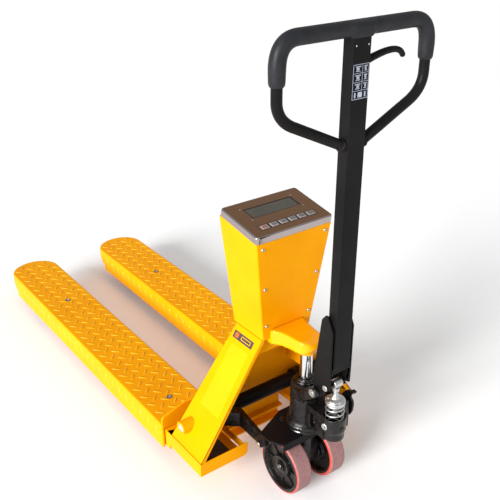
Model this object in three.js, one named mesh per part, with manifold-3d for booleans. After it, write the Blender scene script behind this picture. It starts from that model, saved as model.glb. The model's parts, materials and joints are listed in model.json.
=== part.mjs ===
// Hand pallet truck with a built-in weighing scale. Millimetres, +Z up, +Y towards the fork tips.
// The parts are laid out with Y = 0 at the heel of the forks, X = 0 on the middle plane and Z = 0 on
// the floor; the group at the end shifts them so that the origin is under the middle of the truck.
import * as THREE from 'three';
import { mergeVertices } from 'three/addons/utils/BufferGeometryUtils.js';
import Module from 'manifold-3d';

const wasm = await Module();
wasm.setup();

// ---- driving dimensions -------------------------------------------------------------------------
const overallWidth = 550;
const forkWidth = 176;
const forkLength = 1190;
const deckTop = 117;
const deckSheet = 4;
const skirtBottom = 37;
const forkCentre = (overallWidth - forkWidth) / 2;
const gap = 0.3;

const channelWidth = 156;
const channelBottom = 41;
const channelTop = 100;
const channelWall = 5;
const channelRear = -27.7;
const channelFront = 1080;
const cellScrewRear = 98;
const cellScrewFront = 817;

const trayRear = -205;
const trayFront = -28;
const trayBottom = 72;
const trayTop = 114;
const trayInner = 118;

const columnTopHalf = 119;
const columnBottomHalf = 79;
const columnBottom = 438;
const columnFront = -90;
const columnRearTop = -243;
const columnRearBottom = -219;
const panelTilt = THREE.MathUtils.degToRad(9.85);
const panelRear = { y: -244, z: 736 };
const panelLength = 157;
const panelHalfWidth = 121;
const panelHeight = 20;

const rockerAxis = { y: -103, z: 170 };
const earPin = { y: -262, z: 150 };
const rockerSwing = THREE.MathUtils.degToRad(31.17);
const leverLength = 48.24;
const loadSwing = THREE.MathUtils.degToRad(49.42);
const loadPivot = { y: 890, z: 54 };
const loadArm = 118;
const loadRadius = 38;
const loadPinHeight = 31;

const wheelRadius = 80;
const hubRadius = 71;
const wheelInner = 35;
const wheelOuter = 84;
const wheelAxis = { y: -304, z: wheelRadius };
const ramY = -302;
const ramRadius = 16.5;

const handleAxis = { y: -385, z: 360 };
const rollerAxis = { y: -418, z: 388 };
const plungerY = rollerAxis.y;
const releaseAxis = { y: -388, z: 290 };
const shaftY = -420;
const gripZ = 1256;
const gripRadius = 17.5;
const loopRadius = 12;

// ---- materials ----------------------------------------------------------------------------------
const surface = (color, roughness, metalness) =>
  () => new THREE.MeshStandardMaterial({ color, roughness, metalness });

const yellowPaint = surface(0xf5b400, 0.4, 0.0);
const blackCasting = surface(0x1a1a1d, 0.35, 0.2);
const blackPaint = surface(0x202022, 0.45, 0.1);
const chrome = surface(0xdadde2, 0.12, 1.0);
const zinc = surface(0xa9adad, 0.35, 0.9);
const steel = surface(0x8d9094, 0.4, 0.9);
const stainless = surface(0x86796c, 0.3, 0.9);
const redPolyurethane = surface(0xd8564a, 0.5, 0.0);
const gripRubber = surface(0x2d2e31, 0.7, 0.0);
const displayGlass = surface(0x55564b, 0.15, 0.0);
const keyCap = surface(0x8a8a90, 0.5, 0.2);
const redKeyCap = surface(0xa05a50, 0.5, 0.2);
const circuitGreen = surface(0x1f5b38, 0.6, 0.0);
const batteryGrey = surface(0x4b4f55, 0.6, 0.0);

// ---- geometry helpers ---------------------------------------------------------------------------

// Merges shared vertices and drops the empty triangles at the poles of a lathe.
function weld(geometry) {
  const bare = geometry.index ? geometry.toNonIndexed() : geometry.clone();
  bare.deleteAttribute('normal');
  bare.deleteAttribute('uv');
  const merged = mergeVertices(bare, 1e-3);
  const corners = merged.index.array;
  const kept = [];
  for (let i = 0; i < corners.length; i += 3) {
    const [a, b, c] = corners.slice(i, i + 3);
    if (a !== b && b !== c && c !== a) {
      kept.push(a, b, c);
    }
  }
  merged.setIndex(kept);
  return merged;
}

function solid(geometry) {
  const welded = weld(geometry);
  return new wasm.Manifold(new wasm.Mesh({
    numProp: 3,
    vertProperties: new Float32Array(welded.attributes.position.array),
    triVerts: new Uint32Array(welded.index.array),
  }));
}

function join(first, ...others) {
  return others.reduce((sum, geometry) => sum.add(solid(geometry)), solid(first));
}

function cut(manifold, ...tools) {
  return tools.reduce((rest, geometry) => rest.subtract(solid(geometry)), manifold);
}

function geometryOf(manifold) {
  const mesh = manifold.getMesh();
  const geometry = new THREE.BufferGeometry();
  geometry.setAttribute('position', new THREE.BufferAttribute(new Float32Array(mesh.vertProperties), 3));
  geometry.setIndex(new THREE.BufferAttribute(new Uint32Array(mesh.triVerts), 1));
  return geometry;
}

// The same piece on the other side of the middle plane, with its faces turned outwards again.
function mirrored(geometry) {
  const copy = weld(geometry);
  copy.applyMatrix4(new THREE.Matrix4().makeScale(-1, 1, 1));
  const flipped = [];
  for (let i = 0; i < copy.index.count; i += 3) {
    const [a, b, c] = copy.index.array.slice(i, i + 3);
    flipped.push(a, c, b);
  }
  copy.setIndex(flipped);
  return copy;
}

const points = (pairs) => pairs.map(([a, b]) => new THREE.Vector2(a, b));

// Points of an arc about (a, b), from one angle to another in degrees.
function arc(a, b, radius, from, to, steps = 6) {
  return Array.from({ length: steps + 1 }, (_, i) => {
    const angle = THREE.MathUtils.degToRad(from + (to - from) * i / steps);
    return [a + radius * Math.cos(angle), b + radius * Math.sin(angle)];
  });
}

function extrude(outline, depth) {
  return new THREE.ExtrudeGeometry(new THREE.Shape(points(outline)), { depth, bevelEnabled: false, steps: 1 });
}

// An outline in Y and Z, carried from x0 to x1.
function alongX(outline, x0, x1) {
  const axes = new THREE.Matrix4().makeBasis(
    new THREE.Vector3(0, 1, 0), new THREE.Vector3(0, 0, 1), new THREE.Vector3(1, 0, 0));
  return extrude(outline, x1 - x0).applyMatrix4(axes).translate(x0, 0, 0);
}

// An outline in X and Z, carried from y0 to y1.
function alongY(outline, y0, y1) {
  const axes = new THREE.Matrix4().makeBasis(
    new THREE.Vector3(1, 0, 0), new THREE.Vector3(0, 0, 1), new THREE.Vector3(0, -1, 0));
  return extrude(outline, y1 - y0).applyMatrix4(axes).translate(0, y1, 0);
}

// An outline in X and Y, carried from z0 to z1.
const alongZ = (outline, z0, z1) => extrude(outline, z1 - z0).translate(0, 0, z0);

function box(x0, x1, y0, y1, z0, z1) {
  return new THREE.BoxGeometry(x1 - x0, y1 - y0, z1 - z0)
    .translate((x0 + x1) / 2, (y0 + y1) / 2, (z0 + z1) / 2);
}

const rodX = (x0, x1, y, z, radius, sides = 16) =>
  new THREE.CylinderGeometry(radius, radius, x1 - x0, sides)
    .rotateZ(-Math.PI / 2)
    .translate((x0 + x1) / 2, y, z);

const rodY = (x, y0, y1, z, radius, sides = 16) =>
  new THREE.CylinderGeometry(radius, radius, y1 - y0, sides).translate(x, (y0 + y1) / 2, z);

const rodZ = (x, y, z0, z1, radius, sides = 20) =>
  new THREE.CylinderGeometry(radius, radius, z1 - z0, sides)
    .rotateX(Math.PI / 2)
    .translate(x, y, (z0 + z1) / 2);

// A round piece about a vertical axis, from a closed profile of [radius, z] pairs.
const turnedZ = (profile, x, y, sides = 20) =>
  new THREE.LatheGeometry(points(profile), sides).rotateX(Math.PI / 2).translate(x, y, 0);

// A round piece about an axis along X, from a closed profile of [radius, x] pairs.
const turnedX = (profile, y, z, sides = 28) =>
  new THREE.LatheGeometry(points(profile), sides).rotateZ(-Math.PI / 2).translate(0, y, z);

// Outline of a link with a round end at each of two points.
function link(first, firstRadius, second, secondRadius, steps = 5) {
  const along = THREE.MathUtils.radToDeg(Math.atan2(second[1] - first[1], second[0] - first[0]));
  return [
    ...arc(first[0], first[1], firstRadius, along + 90, along + 270, steps),
    ...arc(second[0], second[1], secondRadius, along - 90, along + 90, steps),
  ];
}

// ---- assembly -----------------------------------------------------------------------------------
const truck = new THREE.Group();

function place(name, piece, material, parent = truck) {
  const geometry = piece.isBufferGeometry ? weld(piece) : geometryOf(piece);
  const mesh = new THREE.Mesh(geometry, material());
  mesh.name = name;
  parent.add(mesh);
  return mesh;
}

// A right-hand piece and its mirror image.
function placePair(name, piece, material, parent = truck) {
  const geometry = piece.isBufferGeometry ? piece : geometryOf(piece);
  place(`${name}_right`, geometry, material, parent);
  place(`${name}_left`, mirrored(geometry), material, parent);
}

// ---- forks --------------------------------------------------------------------------------------
function weighPlatform() {
  const half = forkWidth / 2;
  const noseDepth = 78;
  const nose = arc(0, 0, 1, 0, 180, 16)
    .map(([a, b]) => [half * a, forkLength - noseDepth + noseDepth * b]);
  const outline = [[-half, 0], [half, 0], ...nose].map(([x, y]) => [forkCentre + x, y]);
  const hollowEnd = 1100;
  const noseUnderside = [
    [1096, 0],
    [1096, 60],
    [1108, 63],
    [1124, 76],
    [1142, 91],
    [forkLength + 10, 91],
    [forkLength + 10, 0],
  ];
  let shell = solid(alongZ(outline, skirtBottom, deckTop));
  shell = cut(
    shell,
    box(forkCentre - half + deckSheet, forkCentre + half - deckSheet,
      -1, hollowEnd, skirtBottom - 1, deckTop - deckSheet),
    alongX(noseUnderside, forkCentre - half - 1, forkCentre + half + 1),
  );
  for (const y of [cellScrewRear, cellScrewFront]) {
    const sink = [[0, 112], [6.2, 112], [6.2, 113], [10, 117.5], [0, 117.5]];
    shell = cut(shell, turnedZ(sink, forkCentre, y, 16));
  }
  return shell;
}
placePair('weigh_platform', weighPlatform(), yellowPaint);

function heelPlate() {
  const half = forkWidth / 2;
  const throat = channelWidth / 2 + 2.5;
  const outline = [
    [half, skirtBottom],
    [half, 136],
    [half - 6, 144],
    [10, 166],
    [-half, 166],
    [-half, skirtBottom],
    [-throat, skirtBottom],
    [-throat, channelTop + 2.5],
    [throat, channelTop + 2.5],
    [throat, skirtBottom],
  ].map(([x, z]) => [forkCentre + x, z]);
  return alongY(outline, -6 - gap, -gap);
}
placePair('heel_plate', heelPlate(), yellowPaint);

function forkChannel() {
  const half = channelWidth / 2;
  const inside = half - channelWall;
  const section = [
    [-half, channelBottom],
    [-half, channelTop],
    [half, channelTop],
    [half, channelBottom],
    [inside, channelBottom],
    [inside, channelTop - channelWall],
    [-inside, channelTop - channelWall],
    [-inside, channelBottom],
  ].map(([x, z]) => [forkCentre + x, z]).reverse();
  const channel = solid(alongY(section, channelRear, channelFront));
  return cut(channel, rodX(forkCentre - half - 1, forkCentre + half + 1, loadPivot.y, loadPivot.z, 8.3));
}
placePair('fork_channel', forkChannel(), yellowPaint);

// A shear-beam cell: a foot at one end, and the platform's countersunk screw at the other.
function loadCell(screwY, direction) {
  const z = channelTop + gap;
  const profile = [[-87, 0], [-55, 0], [-55, 2], [13, 2], [13, 12.4], [-13, 12.4], [-13, 10.4], [-87, 10.4]];
  const outline = profile.map(([y, dz]) => [screwY + direction * y, z + dz]);
  const beam = alongX(direction > 0 ? outline : outline.reverse(), forkCentre - 15, forkCentre + 15);
  const screw = [[0, 106], [5.6, 106], [5.6, 113.1], [9.3, 116.7], [0, 116.7]];
  return join(beam, turnedZ(screw, forkCentre, screwY, 16));
}
placePair('load_cell_rear', loadCell(cellScrewRear, 1), steel);
placePair('load_cell_front', loadCell(cellScrewFront, 1), steel);

// ---- frame behind the forks ---------------------------------------------------------------------
function sideTray() {
  const outer = overallWidth / 2;
  const wall = 4;
  const outline = [
    [outer, trayBottom],
    [outer, trayTop],
    [trayInner, trayTop],
    ...arc(trayInner + 14, trayBottom + 14, 14, 180, 270, 4),
  ];
  return cut(
    solid(alongY(outline, trayRear, trayFront)),
    box(trayInner + wall, outer - wall, trayRear + wall, trayFront + 1, trayBottom + 3, trayTop + 1),
    box(trayInner - 1, trayInner + wall + 1, trayRear + wall, trayFront + 1, channelTop, trayTop + 1),
  );
}
placePair('side_tray', sideTray(), yellowPaint);

// The slanted side plate runs from the tray's outer lip up to the column.
const gussetFoot = new THREE.Vector3(overallWidth / 2, 0, trayTop + 0.4);
const gussetHead = new THREE.Vector3(columnBottomHalf, 0, columnBottom - gap);
const gussetUp = gussetHead.clone().sub(gussetFoot);
const gussetLength = gussetUp.length();
const gussetSheet = 5;
gussetUp.normalize();

function onGusset(geometry) {
  const across = new THREE.Vector3(0, 1, 0);
  const inward = gussetUp.clone().cross(across);
  return geometry
    .applyMatrix4(new THREE.Matrix4().makeBasis(gussetUp, across, inward))
    .translate(gussetFoot.x, 0, gussetFoot.z);
}

// Half-width of the space between the two gussets at a height.
function betweenGussets(z, clearance) {
  const share = (z - gussetFoot.z) / (gussetHead.z - gussetFoot.z);
  const outer = gussetFoot.x + (gussetHead.x - gussetFoot.x) * share;
  return outer - (gussetSheet + clearance) / Math.abs(gussetUp.z);
}

function gusset() {
  const plate = [[0, -205], [gussetLength, -213], [gussetLength, -101], [0, -55]];
  const flange = [[0, -205], [gussetLength, -213], [gussetLength, -209], [0, -201]];
  const bossAt = { y: rockerAxis.y, z: rockerAxis.z, radius: 19 };
  const body = join(
    onGusset(extrude(plate, gussetSheet)),
    onGusset(extrude(flange, 14)),
    rodX(229, 272, bossAt.y, bossAt.z, bossAt.radius, 20),
  );
  return cut(body, rodX(220, 280, bossAt.y, bossAt.z, 12.8, 16), box(0, 300, -300, 0, 0, trayTop + gap));
}
placePair('gusset', gusset(), yellowPaint);
placePair('rocker_pin', rodX(192, 270.5, rockerAxis.y, rockerAxis.z, 12.3, 16), steel);

// Slanted front sheet, upper box and lower beam between the gussets.
const crossBoxBottom = 384;
function crossMember() {
  const low = 119;
  const high = columnBottom - gap;
  const clearance = 0.6;
  const space = [
    [-betweenGussets(low, clearance), low],
    [betweenGussets(low, clearance), low],
    [betweenGussets(high, clearance), high],
    [-betweenGussets(high, clearance), high],
  ];
  const sheet = [[-58, low], [-52, low], [-98, high], [-104, high]];
  const wide = 300;
  const upper = join(
    alongX(sheet, -wide, wide),
    box(-wide, wide, -198, -100, crossBoxBottom, high),
  ).intersect(solid(alongY(space, -300, 0)));
  const beamHalf = forkCentre - channelWidth / 2 - gap;
  return upper
    .add(solid(box(-beamHalf, beamHalf, -58, -46, 58, low + 8)))
    .add(solid(box(-beamHalf, beamHalf, -78, -46, 58, 64)))
    .add(solid(box(beamHalf - 8, beamHalf, -50, -8, 58, 96)))
    .add(solid(box(-beamHalf, 8 - beamHalf, -50, -8, 58, 96)));
}
place('cross_member', crossMember(), yellowPaint);

// ---- head casting over the ram ------------------------------------------------------------------
function headCasting() {
  const plan = [
    [57, -150],
    [-57, -150],
    [-57, -226],
    [-50, -239],
    [-45, -254],
    [-41, -276],
    ...arc(0, -304, 38, 180, 360, 12),
    [41, -276],
    [45, -254],
    [50, -239],
    [57, -226],
  ];
  const side = [
    [-198.4, 437.3],
    [-198.4, 421],
    [-226, 422],
    [-256, 427],
    [-320, 431],
    [-334, 437],
    [-342, 446],
    [-342, 456],
    [-334, 464],
    [-318, 468],
    [-250, 468],
    [-215, 464],
    [-180, 464],
    [-180, 438.4],
    [-198.4, 438.4],
  ].reverse();
  const bill = solid(alongZ(plan, 400, 480)).intersect(solid(alongX(side, -60, 60)));
  return cut(
    bill.add(solid(rodZ(0, ramY, 419, 440, 26))),
    rodZ(0, ramY, 410, 447, 20.5),
  );
}
place('head_casting', headCasting(), yellowPaint);

// ---- column -------------------------------------------------------------------------------------
const panelSlope = Math.tan(panelTilt);
const underPanel = (y) => panelRear.z - gap + (y - panelRear.y) * panelSlope;
const columnTop = underPanel(columnFront);
const coverSheet = 2.5;

// Half-width of the tapering column at a height, less an inset.
function columnHalf(z, inset) {
  const share = (z - columnBottom) / (underPanel(columnRearTop) - columnBottom);
  return columnBottomHalf + (columnTopHalf - columnBottomHalf) * share - inset;
}

function columnRear(z) {
  const share = (z - columnBottom) / (panelRear.z - columnBottom);
  return columnRearBottom + (columnRearTop - columnRearBottom) * share;
}

function columnBlock(inset, bottom, top) {
  const front = [
    [-columnHalf(bottom, inset), bottom],
    [columnHalf(bottom, inset), bottom],
    [columnHalf(top, inset), top],
    [-columnHalf(top, inset), top],
  ];
  return solid(alongY(front, -300, columnFront - inset));
}

function columnShell() {
  const wall = 3;
  const rear = coverSheet + gap;
  const side = (inset, bottom, lift) => alongX([
    [columnRear(bottom) + rear + inset, bottom],
    [columnFront + 1, bottom],
    [columnFront + 1, columnTop + lift],
    [columnRear(panelRear.z) + rear + inset, underPanel(columnRear(panelRear.z) + rear + inset) + lift],
  ], -200, 200);
  const outer = columnBlock(0, columnBottom, columnTop + 20).intersect(solid(side(0, columnBottom, 0)));
  const inner = columnBlock(wall, columnBottom - 5, columnTop + 30)
    .intersect(solid(side(wall, columnBottom - 5, 30)));
  const hatch = alongY([[-70, 480], [70, 480], [94, 715], [-94, 715]], -300, -200);
  const notch = box(-58, 58, -300, -170, columnBottom - 5, 465);
  return cut(outer.subtract(inner), hatch, notch);
}
place('column_shell', columnShell(), yellowPaint);

// The removable rear cover follows the taper and is notched over the head casting.
function columnCover() {
  const top = underPanel(columnRear(panelRear.z));
  const outline = [
    [-columnHalf(columnBottom, 1), columnBottom],
    [-58, columnBottom],
    [-58, 466],
    [58, 466],
    [58, columnBottom],
    [columnHalf(columnBottom, 1), columnBottom],
    [columnHalf(top, 1), top - 1],
    [-columnHalf(top, 1), top - 1],
  ];
  const slab = alongX([
    [columnRear(columnBottom), columnBottom - 1],
    [columnRear(columnBottom) + coverSheet, columnBottom - 1],
    [columnRear(top) + coverSheet, top + 1],
    [columnRear(top), top + 1],
  ], -200, 200);
  return solid(alongY(outline, -300, -200)).intersect(solid(slab));
}
place('column_cover', columnCover(), yellowPaint);
place('battery', box(-60, 60, -175, -110, columnBottom + gap, 520), batteryGrey);

// ---- indicator ----------------------------------------------------------------------------------
// The group's own axes: Y runs up the sloping panel from its rear edge, Z is the panel's normal.
const indicator = new THREE.Group();
indicator.position.set(0, panelRear.y, panelRear.z);
indicator.rotation.x = panelTilt;
truck.add(indicator);

const windowHalf = 76;
const windowFrom = 78;
const windowTo = 122;
const keySize = { x: 21, y: 15 };
const keyRow = 34;
const keyPitch = 29;
const keyCount = 6;
const keyX = (i) => (i - (keyCount - 1) / 2) * keyPitch;

function roundedPlan(half, from, to, radius) {
  return [
    ...arc(half - radius, from + radius, radius, -90, 0, 4),
    ...arc(half - radius, to - radius, radius, 0, 90, 4),
    ...arc(radius - half, to - radius, radius, 90, 180, 4),
    ...arc(radius - half, from + radius, radius, 180, 270, 4),
  ];
}

function indicatorCase() {
  const wall = 2;
  let shell = cut(
    solid(alongZ(roundedPlan(panelHalfWidth, 0, panelLength, 9), 0, panelHeight)),
    alongZ(roundedPlan(panelHalfWidth - wall, wall, panelLength - wall, 7), wall, panelHeight - wall),
    box(-windowHalf, windowHalf, windowFrom, windowTo, panelHeight - wall - 1, panelHeight + 1),
    box(-20, 20, 55, 75, -1, wall + 1),
  );
  for (let i = 0; i < keyCount; i += 1) {
    const x = keyX(i);
    shell = cut(shell, box(x - keySize.x / 2 - 0.5, x + keySize.x / 2 + 0.5,
      keyRow - keySize.y / 2 - 0.5, keyRow + keySize.y / 2 + 0.5, panelHeight - wall - 1, panelHeight + 1));
  }
  return shell;
}
place('indicator_case', indicatorCase(), stainless, indicator);
place('display_window',
  box(-windowHalf + gap, windowHalf - gap, windowFrom + gap, windowTo - gap, 15.5, 19), displayGlass, indicator);
place('circuit_board', box(-105, 105, 12, 138, 8, 9.6), circuitGreen, indicator);
for (let i = 0; i < keyCount; i += 1) {
  const x = keyX(i);
  const cap = box(x - keySize.x / 2, x + keySize.x / 2, keyRow - keySize.y / 2, keyRow + keySize.y / 2, 17, 21.2);
  const stem = box(x - 3, x + 3, keyRow - 3, keyRow + 3, 11, 17.5);
  place(`key_${i + 1}`, join(cap, stem), i === 0 ? redKeyCap : keyCap, indicator);
}

// ---- rocker, push rods and load wheels ----------------------------------------------------------
const halfRocker = rockerSwing / 2;
const leverPin = {
  y: rockerAxis.y - leverLength * Math.sin(halfRocker),
  z: rockerAxis.z - leverLength * Math.cos(halfRocker),
};
const halfLoad = loadSwing / 2;
const loadPin = {
  y: loadPivot.y - loadPinHeight * Math.sin(halfLoad),
  z: loadPivot.z + loadPinHeight * Math.cos(halfLoad),
};
const loadDrop = loadPivot.z - loadRadius;
const loadWheel = {
  y: loadPivot.y + Math.sqrt(loadArm ** 2 - loadDrop ** 2),
  z: loadRadius,
};
const rodHalf = 6;

const tubeHalf = 221;

// The tube turns on the two pins in the gussets and carries a push lever over each fork.
function torsionTube() {
  let tube = solid(rodX(-tubeHalf, tubeHalf, rockerAxis.y, rockerAxis.z, 21, 20));
  for (const side of [-1, 1]) {
    const x = side * forkCentre;
    const near = x + side * (rodHalf + 1);
    const far = x + side * (rodHalf + 11);
    const lever = link([rockerAxis.y, rockerAxis.z], 26, [leverPin.y, leverPin.z], 11);
    tube = tube
      .add(solid(alongX(lever, Math.min(near, far), Math.max(near, far))))
      .add(solid(rodX(Math.min(x - side * rodHalf, near + side), Math.max(x - side * rodHalf, near + side),
        leverPin.y, leverPin.z, 5, 12)));
    const socket = side * 190;
    tube = cut(tube, rodX(Math.min(socket, side * 230), Math.max(socket, side * 230),
      rockerAxis.y, rockerAxis.z, 12.8, 16));
  }
  return tube;
}
place('torsion_tube', torsionTube(), blackPaint);

function rockerArm() {
  const plan = [
    [99, -285],
    [115, -285],
    [115, -166],
    [150, -134],
    [150, -70],
    [124, -70],
    [124, -122],
    [99, -150],
  ];
  const side = link([rockerAxis.y, rockerAxis.z], 29, [earPin.y, earPin.z], 15.5);
  const arm = solid(alongZ(plan, 100, 220)).intersect(solid(alongX(side, 90, 160)));
  const slotEnd = [earPin.y + 4.6, earPin.z + 0.4];
  return cut(
    arm,
    rodX(80, 170, rockerAxis.y, rockerAxis.z, 21.5, 20),
    alongX(link(slotEnd, 8.8, [earPin.y, earPin.z], 8.8, 6), 80, 170),
  );
}
placePair('rocker_arm', rockerArm(), blackCasting);

function pushRod() {
  const thick = 6;
  const kneeY = -60;
  const bar = [
    [leverPin.y, leverPin.z - thick],
    [kneeY, loadPin.z - thick],
    [loadPin.y, loadPin.z - thick],
    [loadPin.y, loadPin.z + thick],
    [kneeY + 4, loadPin.z + thick],
    [leverPin.y, leverPin.z + thick + 2],
  ];
  const x0 = forkCentre - rodHalf;
  const x1 = forkCentre + rodHalf;
  const rod = join(
    alongX(bar, x0, x1),
    rodX(x0, x1, leverPin.y, leverPin.z - 1, 11, 16),
    rodX(x0, x1, loadPin.y, loadPin.z, 9, 16),
  );
  return cut(
    rod,
    alongX(link([leverPin.y, leverPin.z], 5.6, [leverPin.y, leverPin.z - 2], 5.6, 5), x0 - 1, x1 + 1),
    alongX(link([loadPin.y, loadPin.z], 4.9, [loadPin.y, loadPin.z + 2.9], 4.9, 5), x0 - 1, x1 + 1),
  );
}
placePair('push_rod', pushRod(), blackPaint);

function loadFrame() {
  const plates = [];
  for (const side of [-1, 1]) {
    const inner = forkCentre + side * 42;
    const outer = forkCentre + side * 50;
    const low = Math.min(inner, outer);
    const high = Math.max(inner, outer);
    plates.push(alongX(link([loadPivot.y, loadPivot.z], 12.5, [loadWheel.y, loadWheel.z], 14), low, high));
    plates.push(alongX(link([loadPin.y, loadPin.z], 8, [loadPivot.y, loadPivot.z], 12.5, 6), low, high));
  }
  return join(
    rodX(forkCentre - 77, forkCentre + 77, loadPivot.y, loadPivot.z, 7.9, 16),
    rodX(forkCentre - 43, forkCentre + 43, loadPivot.y, loadPivot.z, 12.5, 16),
    ...plates,
    rodX(forkCentre - 43, forkCentre + 43, loadPin.y, loadPin.z, 4.2, 12),
    rodX(forkCentre - 46, forkCentre + 46, loadWheel.y, loadWheel.z, 8, 16),
  );
}
placePair('load_frame', loadFrame(), blackPaint);

function loadRoller() {
  const half = 39;
  const profile = [
    [8.5, -half],
    [loadRadius - 2, -half],
    [loadRadius, -half + 2],
    [loadRadius, half - 2],
    [loadRadius - 2, half],
    [8.5, half],
    [8.5, -half],
  ];
  return turnedX(profile, loadWheel.y, loadWheel.z, 24).translate(forkCentre, 0, 0);
}
placePair('load_roller', loadRoller(), redPolyurethane);

// ---- thrust plate, ram and pump -----------------------------------------------------------------
const plateTop = 186;
function thrustPlate() {
  const outline = [
    [-20, -218],
    [-121, -262],
    [-121, -300],
    [-100, -340],
    [100, -340],
    [121, -300],
    [121, -262],
    [20, -218],
  ].reverse();
  const plate = join(
    alongZ(outline, plateTop - 6, plateTop),
    box(-100, 100, -340, -335, plateTop - 24, plateTop),
  );
  let whole = plate;
  for (const side of [-1, 1]) {
    const ear = link([earPin.y - 6, plateTop - 16], 16, [earPin.y, earPin.z], 13, 6);
    const inner = side * 115.5;
    const outer = side * 121;
    whole = whole
      .add(solid(alongX(ear, Math.min(inner, outer), Math.max(inner, outer))))
      .add(solid(rodX(Math.min(side * 98, side * 127), Math.max(side * 98, side * 127),
        earPin.y, earPin.z, 8, 16)));
  }
  const spindleHole = rodZ(0, ramY, plateTop - 30, plateTop + 5, 34);
  const aboveEars = box(-130, 130, -360, -200, plateTop, plateTop + 40);
  return cut(whole, spindleHole, aboveEars);
}
place('thrust_plate', thrustPlate(), blackPaint);
const bearingTop = 194;
place('thrust_bearing', turnedZ([
  [36, plateTop + gap],
  [50, plateTop + gap],
  [50, plateTop + 3],
  [48, bearingTop],
  [36, bearingTop],
  [36, plateTop + gap],
], 0, ramY), steel);

place('ram', turnedZ([
  [0, 212],
  [ramRadius, 212],
  [ramRadius, 436],
  [12, 441],
  [0, 443],
], 0, ramY), chrome);

const glandBottom = 332;
const cupBottom = 222;
const cupFloor = 230;
const cupTop = 290;
const cupRadius = 32;
const cupFootRadius = 28.5;
const springBore = 25.6;
const capBore = 28;
const boreStep = 256;
const earInner = 38;
const earOuter = 51;
function pumpBody() {
  const cylinder = turnedZ([
    [0, 112],
    [32, 112],
    [32, bearingTop + gap],
    [50, bearingTop + gap],
    [50, 204],
    [43, 212],
    [40, 250],
    [40, 318],
    [36, glandBottom - gap],
    [0, glandBottom - gap],
  ], 0, ramY, 24);
  const axleBlock = alongX(link([wheelAxis.y, wheelAxis.z], 27, [wheelAxis.y, 112], 30), -32, 32);
  const rearCup = turnedZ([
    [0, cupBottom],
    [cupFootRadius, cupBottom],
    [cupFootRadius, cupBottom + 22],
    [cupRadius, cupBottom + 28],
    [cupRadius, cupTop],
    [0, cupTop],
  ], 0, plungerY);
  const web = box(-26, 44, plungerY + 6, ramY - 20, 214, 284);
  const valveBlock = box(26, 58, -412, -350, 222, 306);
  const leverStub = rodX(57, 67.5, releaseAxis.y, releaseAxis.z, 4, 12);
  const yoke = box(-earOuter, earOuter, -346, -306, 302, 328);
  let body = join(cylinder, axleBlock, rearCup, web, valveBlock, leverStub, yoke);
  for (const side of [-1, 1]) {
    const inner = side * earInner;
    const outer = side * earOuter;
    const ear = link([-330, 314], 14, [handleAxis.y, handleAxis.z], 15, 6);
    body = body.add(solid(alongX(ear, Math.min(inner, outer), Math.max(inner, outer))));
  }
  return cut(
    body,
    rodX(-60, 60, wheelAxis.y, wheelAxis.z, 12.8),
    rodZ(0, ramY, 208, 340, ramRadius + 0.6),
    rodZ(0, plungerY, cupFloor, cupTop + 5, springBore),
    rodZ(0, plungerY, boreStep, cupTop + 5, capBore),
    rodX(-70, 70, handleAxis.y, handleAxis.z, 7.4, 16),
    box(-60, -10, -372, -352, 226, 268),
  );
}
place('pump_body', pumpBody(), blackCasting);
place('gland_ring', turnedZ([
  [17.2, glandBottom],
  [31, glandBottom],
  [31, 338],
  [25, 343],
  [17.2, 343],
  [17.2, glandBottom],
], 0, ramY), zinc);
place('steer_axle', rodX(-wheelOuter - 4, wheelOuter + 4, wheelAxis.y, wheelAxis.z, 12.3), steel);
place('handle_pin', rodX(-54, 54, handleAxis.y, handleAxis.z, 7, 16), zinc);

// ---- steering wheels ----------------------------------------------------------------------------
function hubProfile() {
  return [
    [13, wheelInner + 1],
    [hubRadius, wheelInner + 1],
    [hubRadius, wheelOuter - 4],
    [64, wheelOuter - 2],
    [61, wheelOuter - 12],
    [34, wheelOuter - 12],
    [30, wheelOuter - 1],
    [13, wheelOuter - 1],
    [13, wheelInner + 1],
  ];
}
placePair('wheel_hub', turnedX(hubProfile(), wheelAxis.y, wheelAxis.z), blackCasting);
placePair('wheel_tyre', turnedX([
  [hubRadius + gap, wheelInner],
  [wheelRadius - 4, wheelInner],
  [wheelRadius, wheelInner + 4],
  [wheelRadius, wheelOuter - 4],
  [wheelRadius - 4, wheelOuter],
  [hubRadius + gap, wheelOuter],
  [hubRadius + gap, wheelInner],
], wheelAxis.y, wheelAxis.z), redPolyurethane);

// ---- plunger, its spring and the release lever --------------------------------------------------
const capBottom = 330;
const rollerRadius = 12;
const padTop = rollerAxis.z - rollerRadius - 0.5;
place('plunger', turnedZ([
  [0, 290],
  [8, 290],
  [8, capBottom],
  [26.5, capBottom],
  [26.5, 337],
  [22, 342],
  [14, 345],
  [10, 351],
  [7, 356],
  [7, 364],
  [9.5, 370],
  [9.5, padTop],
  [0, padTop],
], 0, plungerY, 16), zinc);

class Helix extends THREE.Curve {
  constructor(radius, bottom, top, turns) {
    super();
    Object.assign(this, { radius, bottom, top, turns });
  }

  getPoint(t, target = new THREE.Vector3()) {
    const angle = t * this.turns * 2 * Math.PI;
    const z = this.bottom + t * (this.top - this.bottom);
    return target.set(this.radius * Math.cos(angle), this.radius * Math.sin(angle), z);
  }
}
const springTurns = 7;
const springWire = 2.3;
const coil = new THREE.ExtrudeGeometry(
  new THREE.Shape(points(arc(0, 0, springWire, 0, 288, 4))),
  {
    steps: springTurns * 9,
    extrudePath: new Helix(22.5, cupFloor + springWire + 0.6, capBottom - springWire - 0.6, springTurns),
    bevelEnabled: false,
  },
);
place('return_spring', coil.translate(0, plungerY, 0), zinc);

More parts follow.
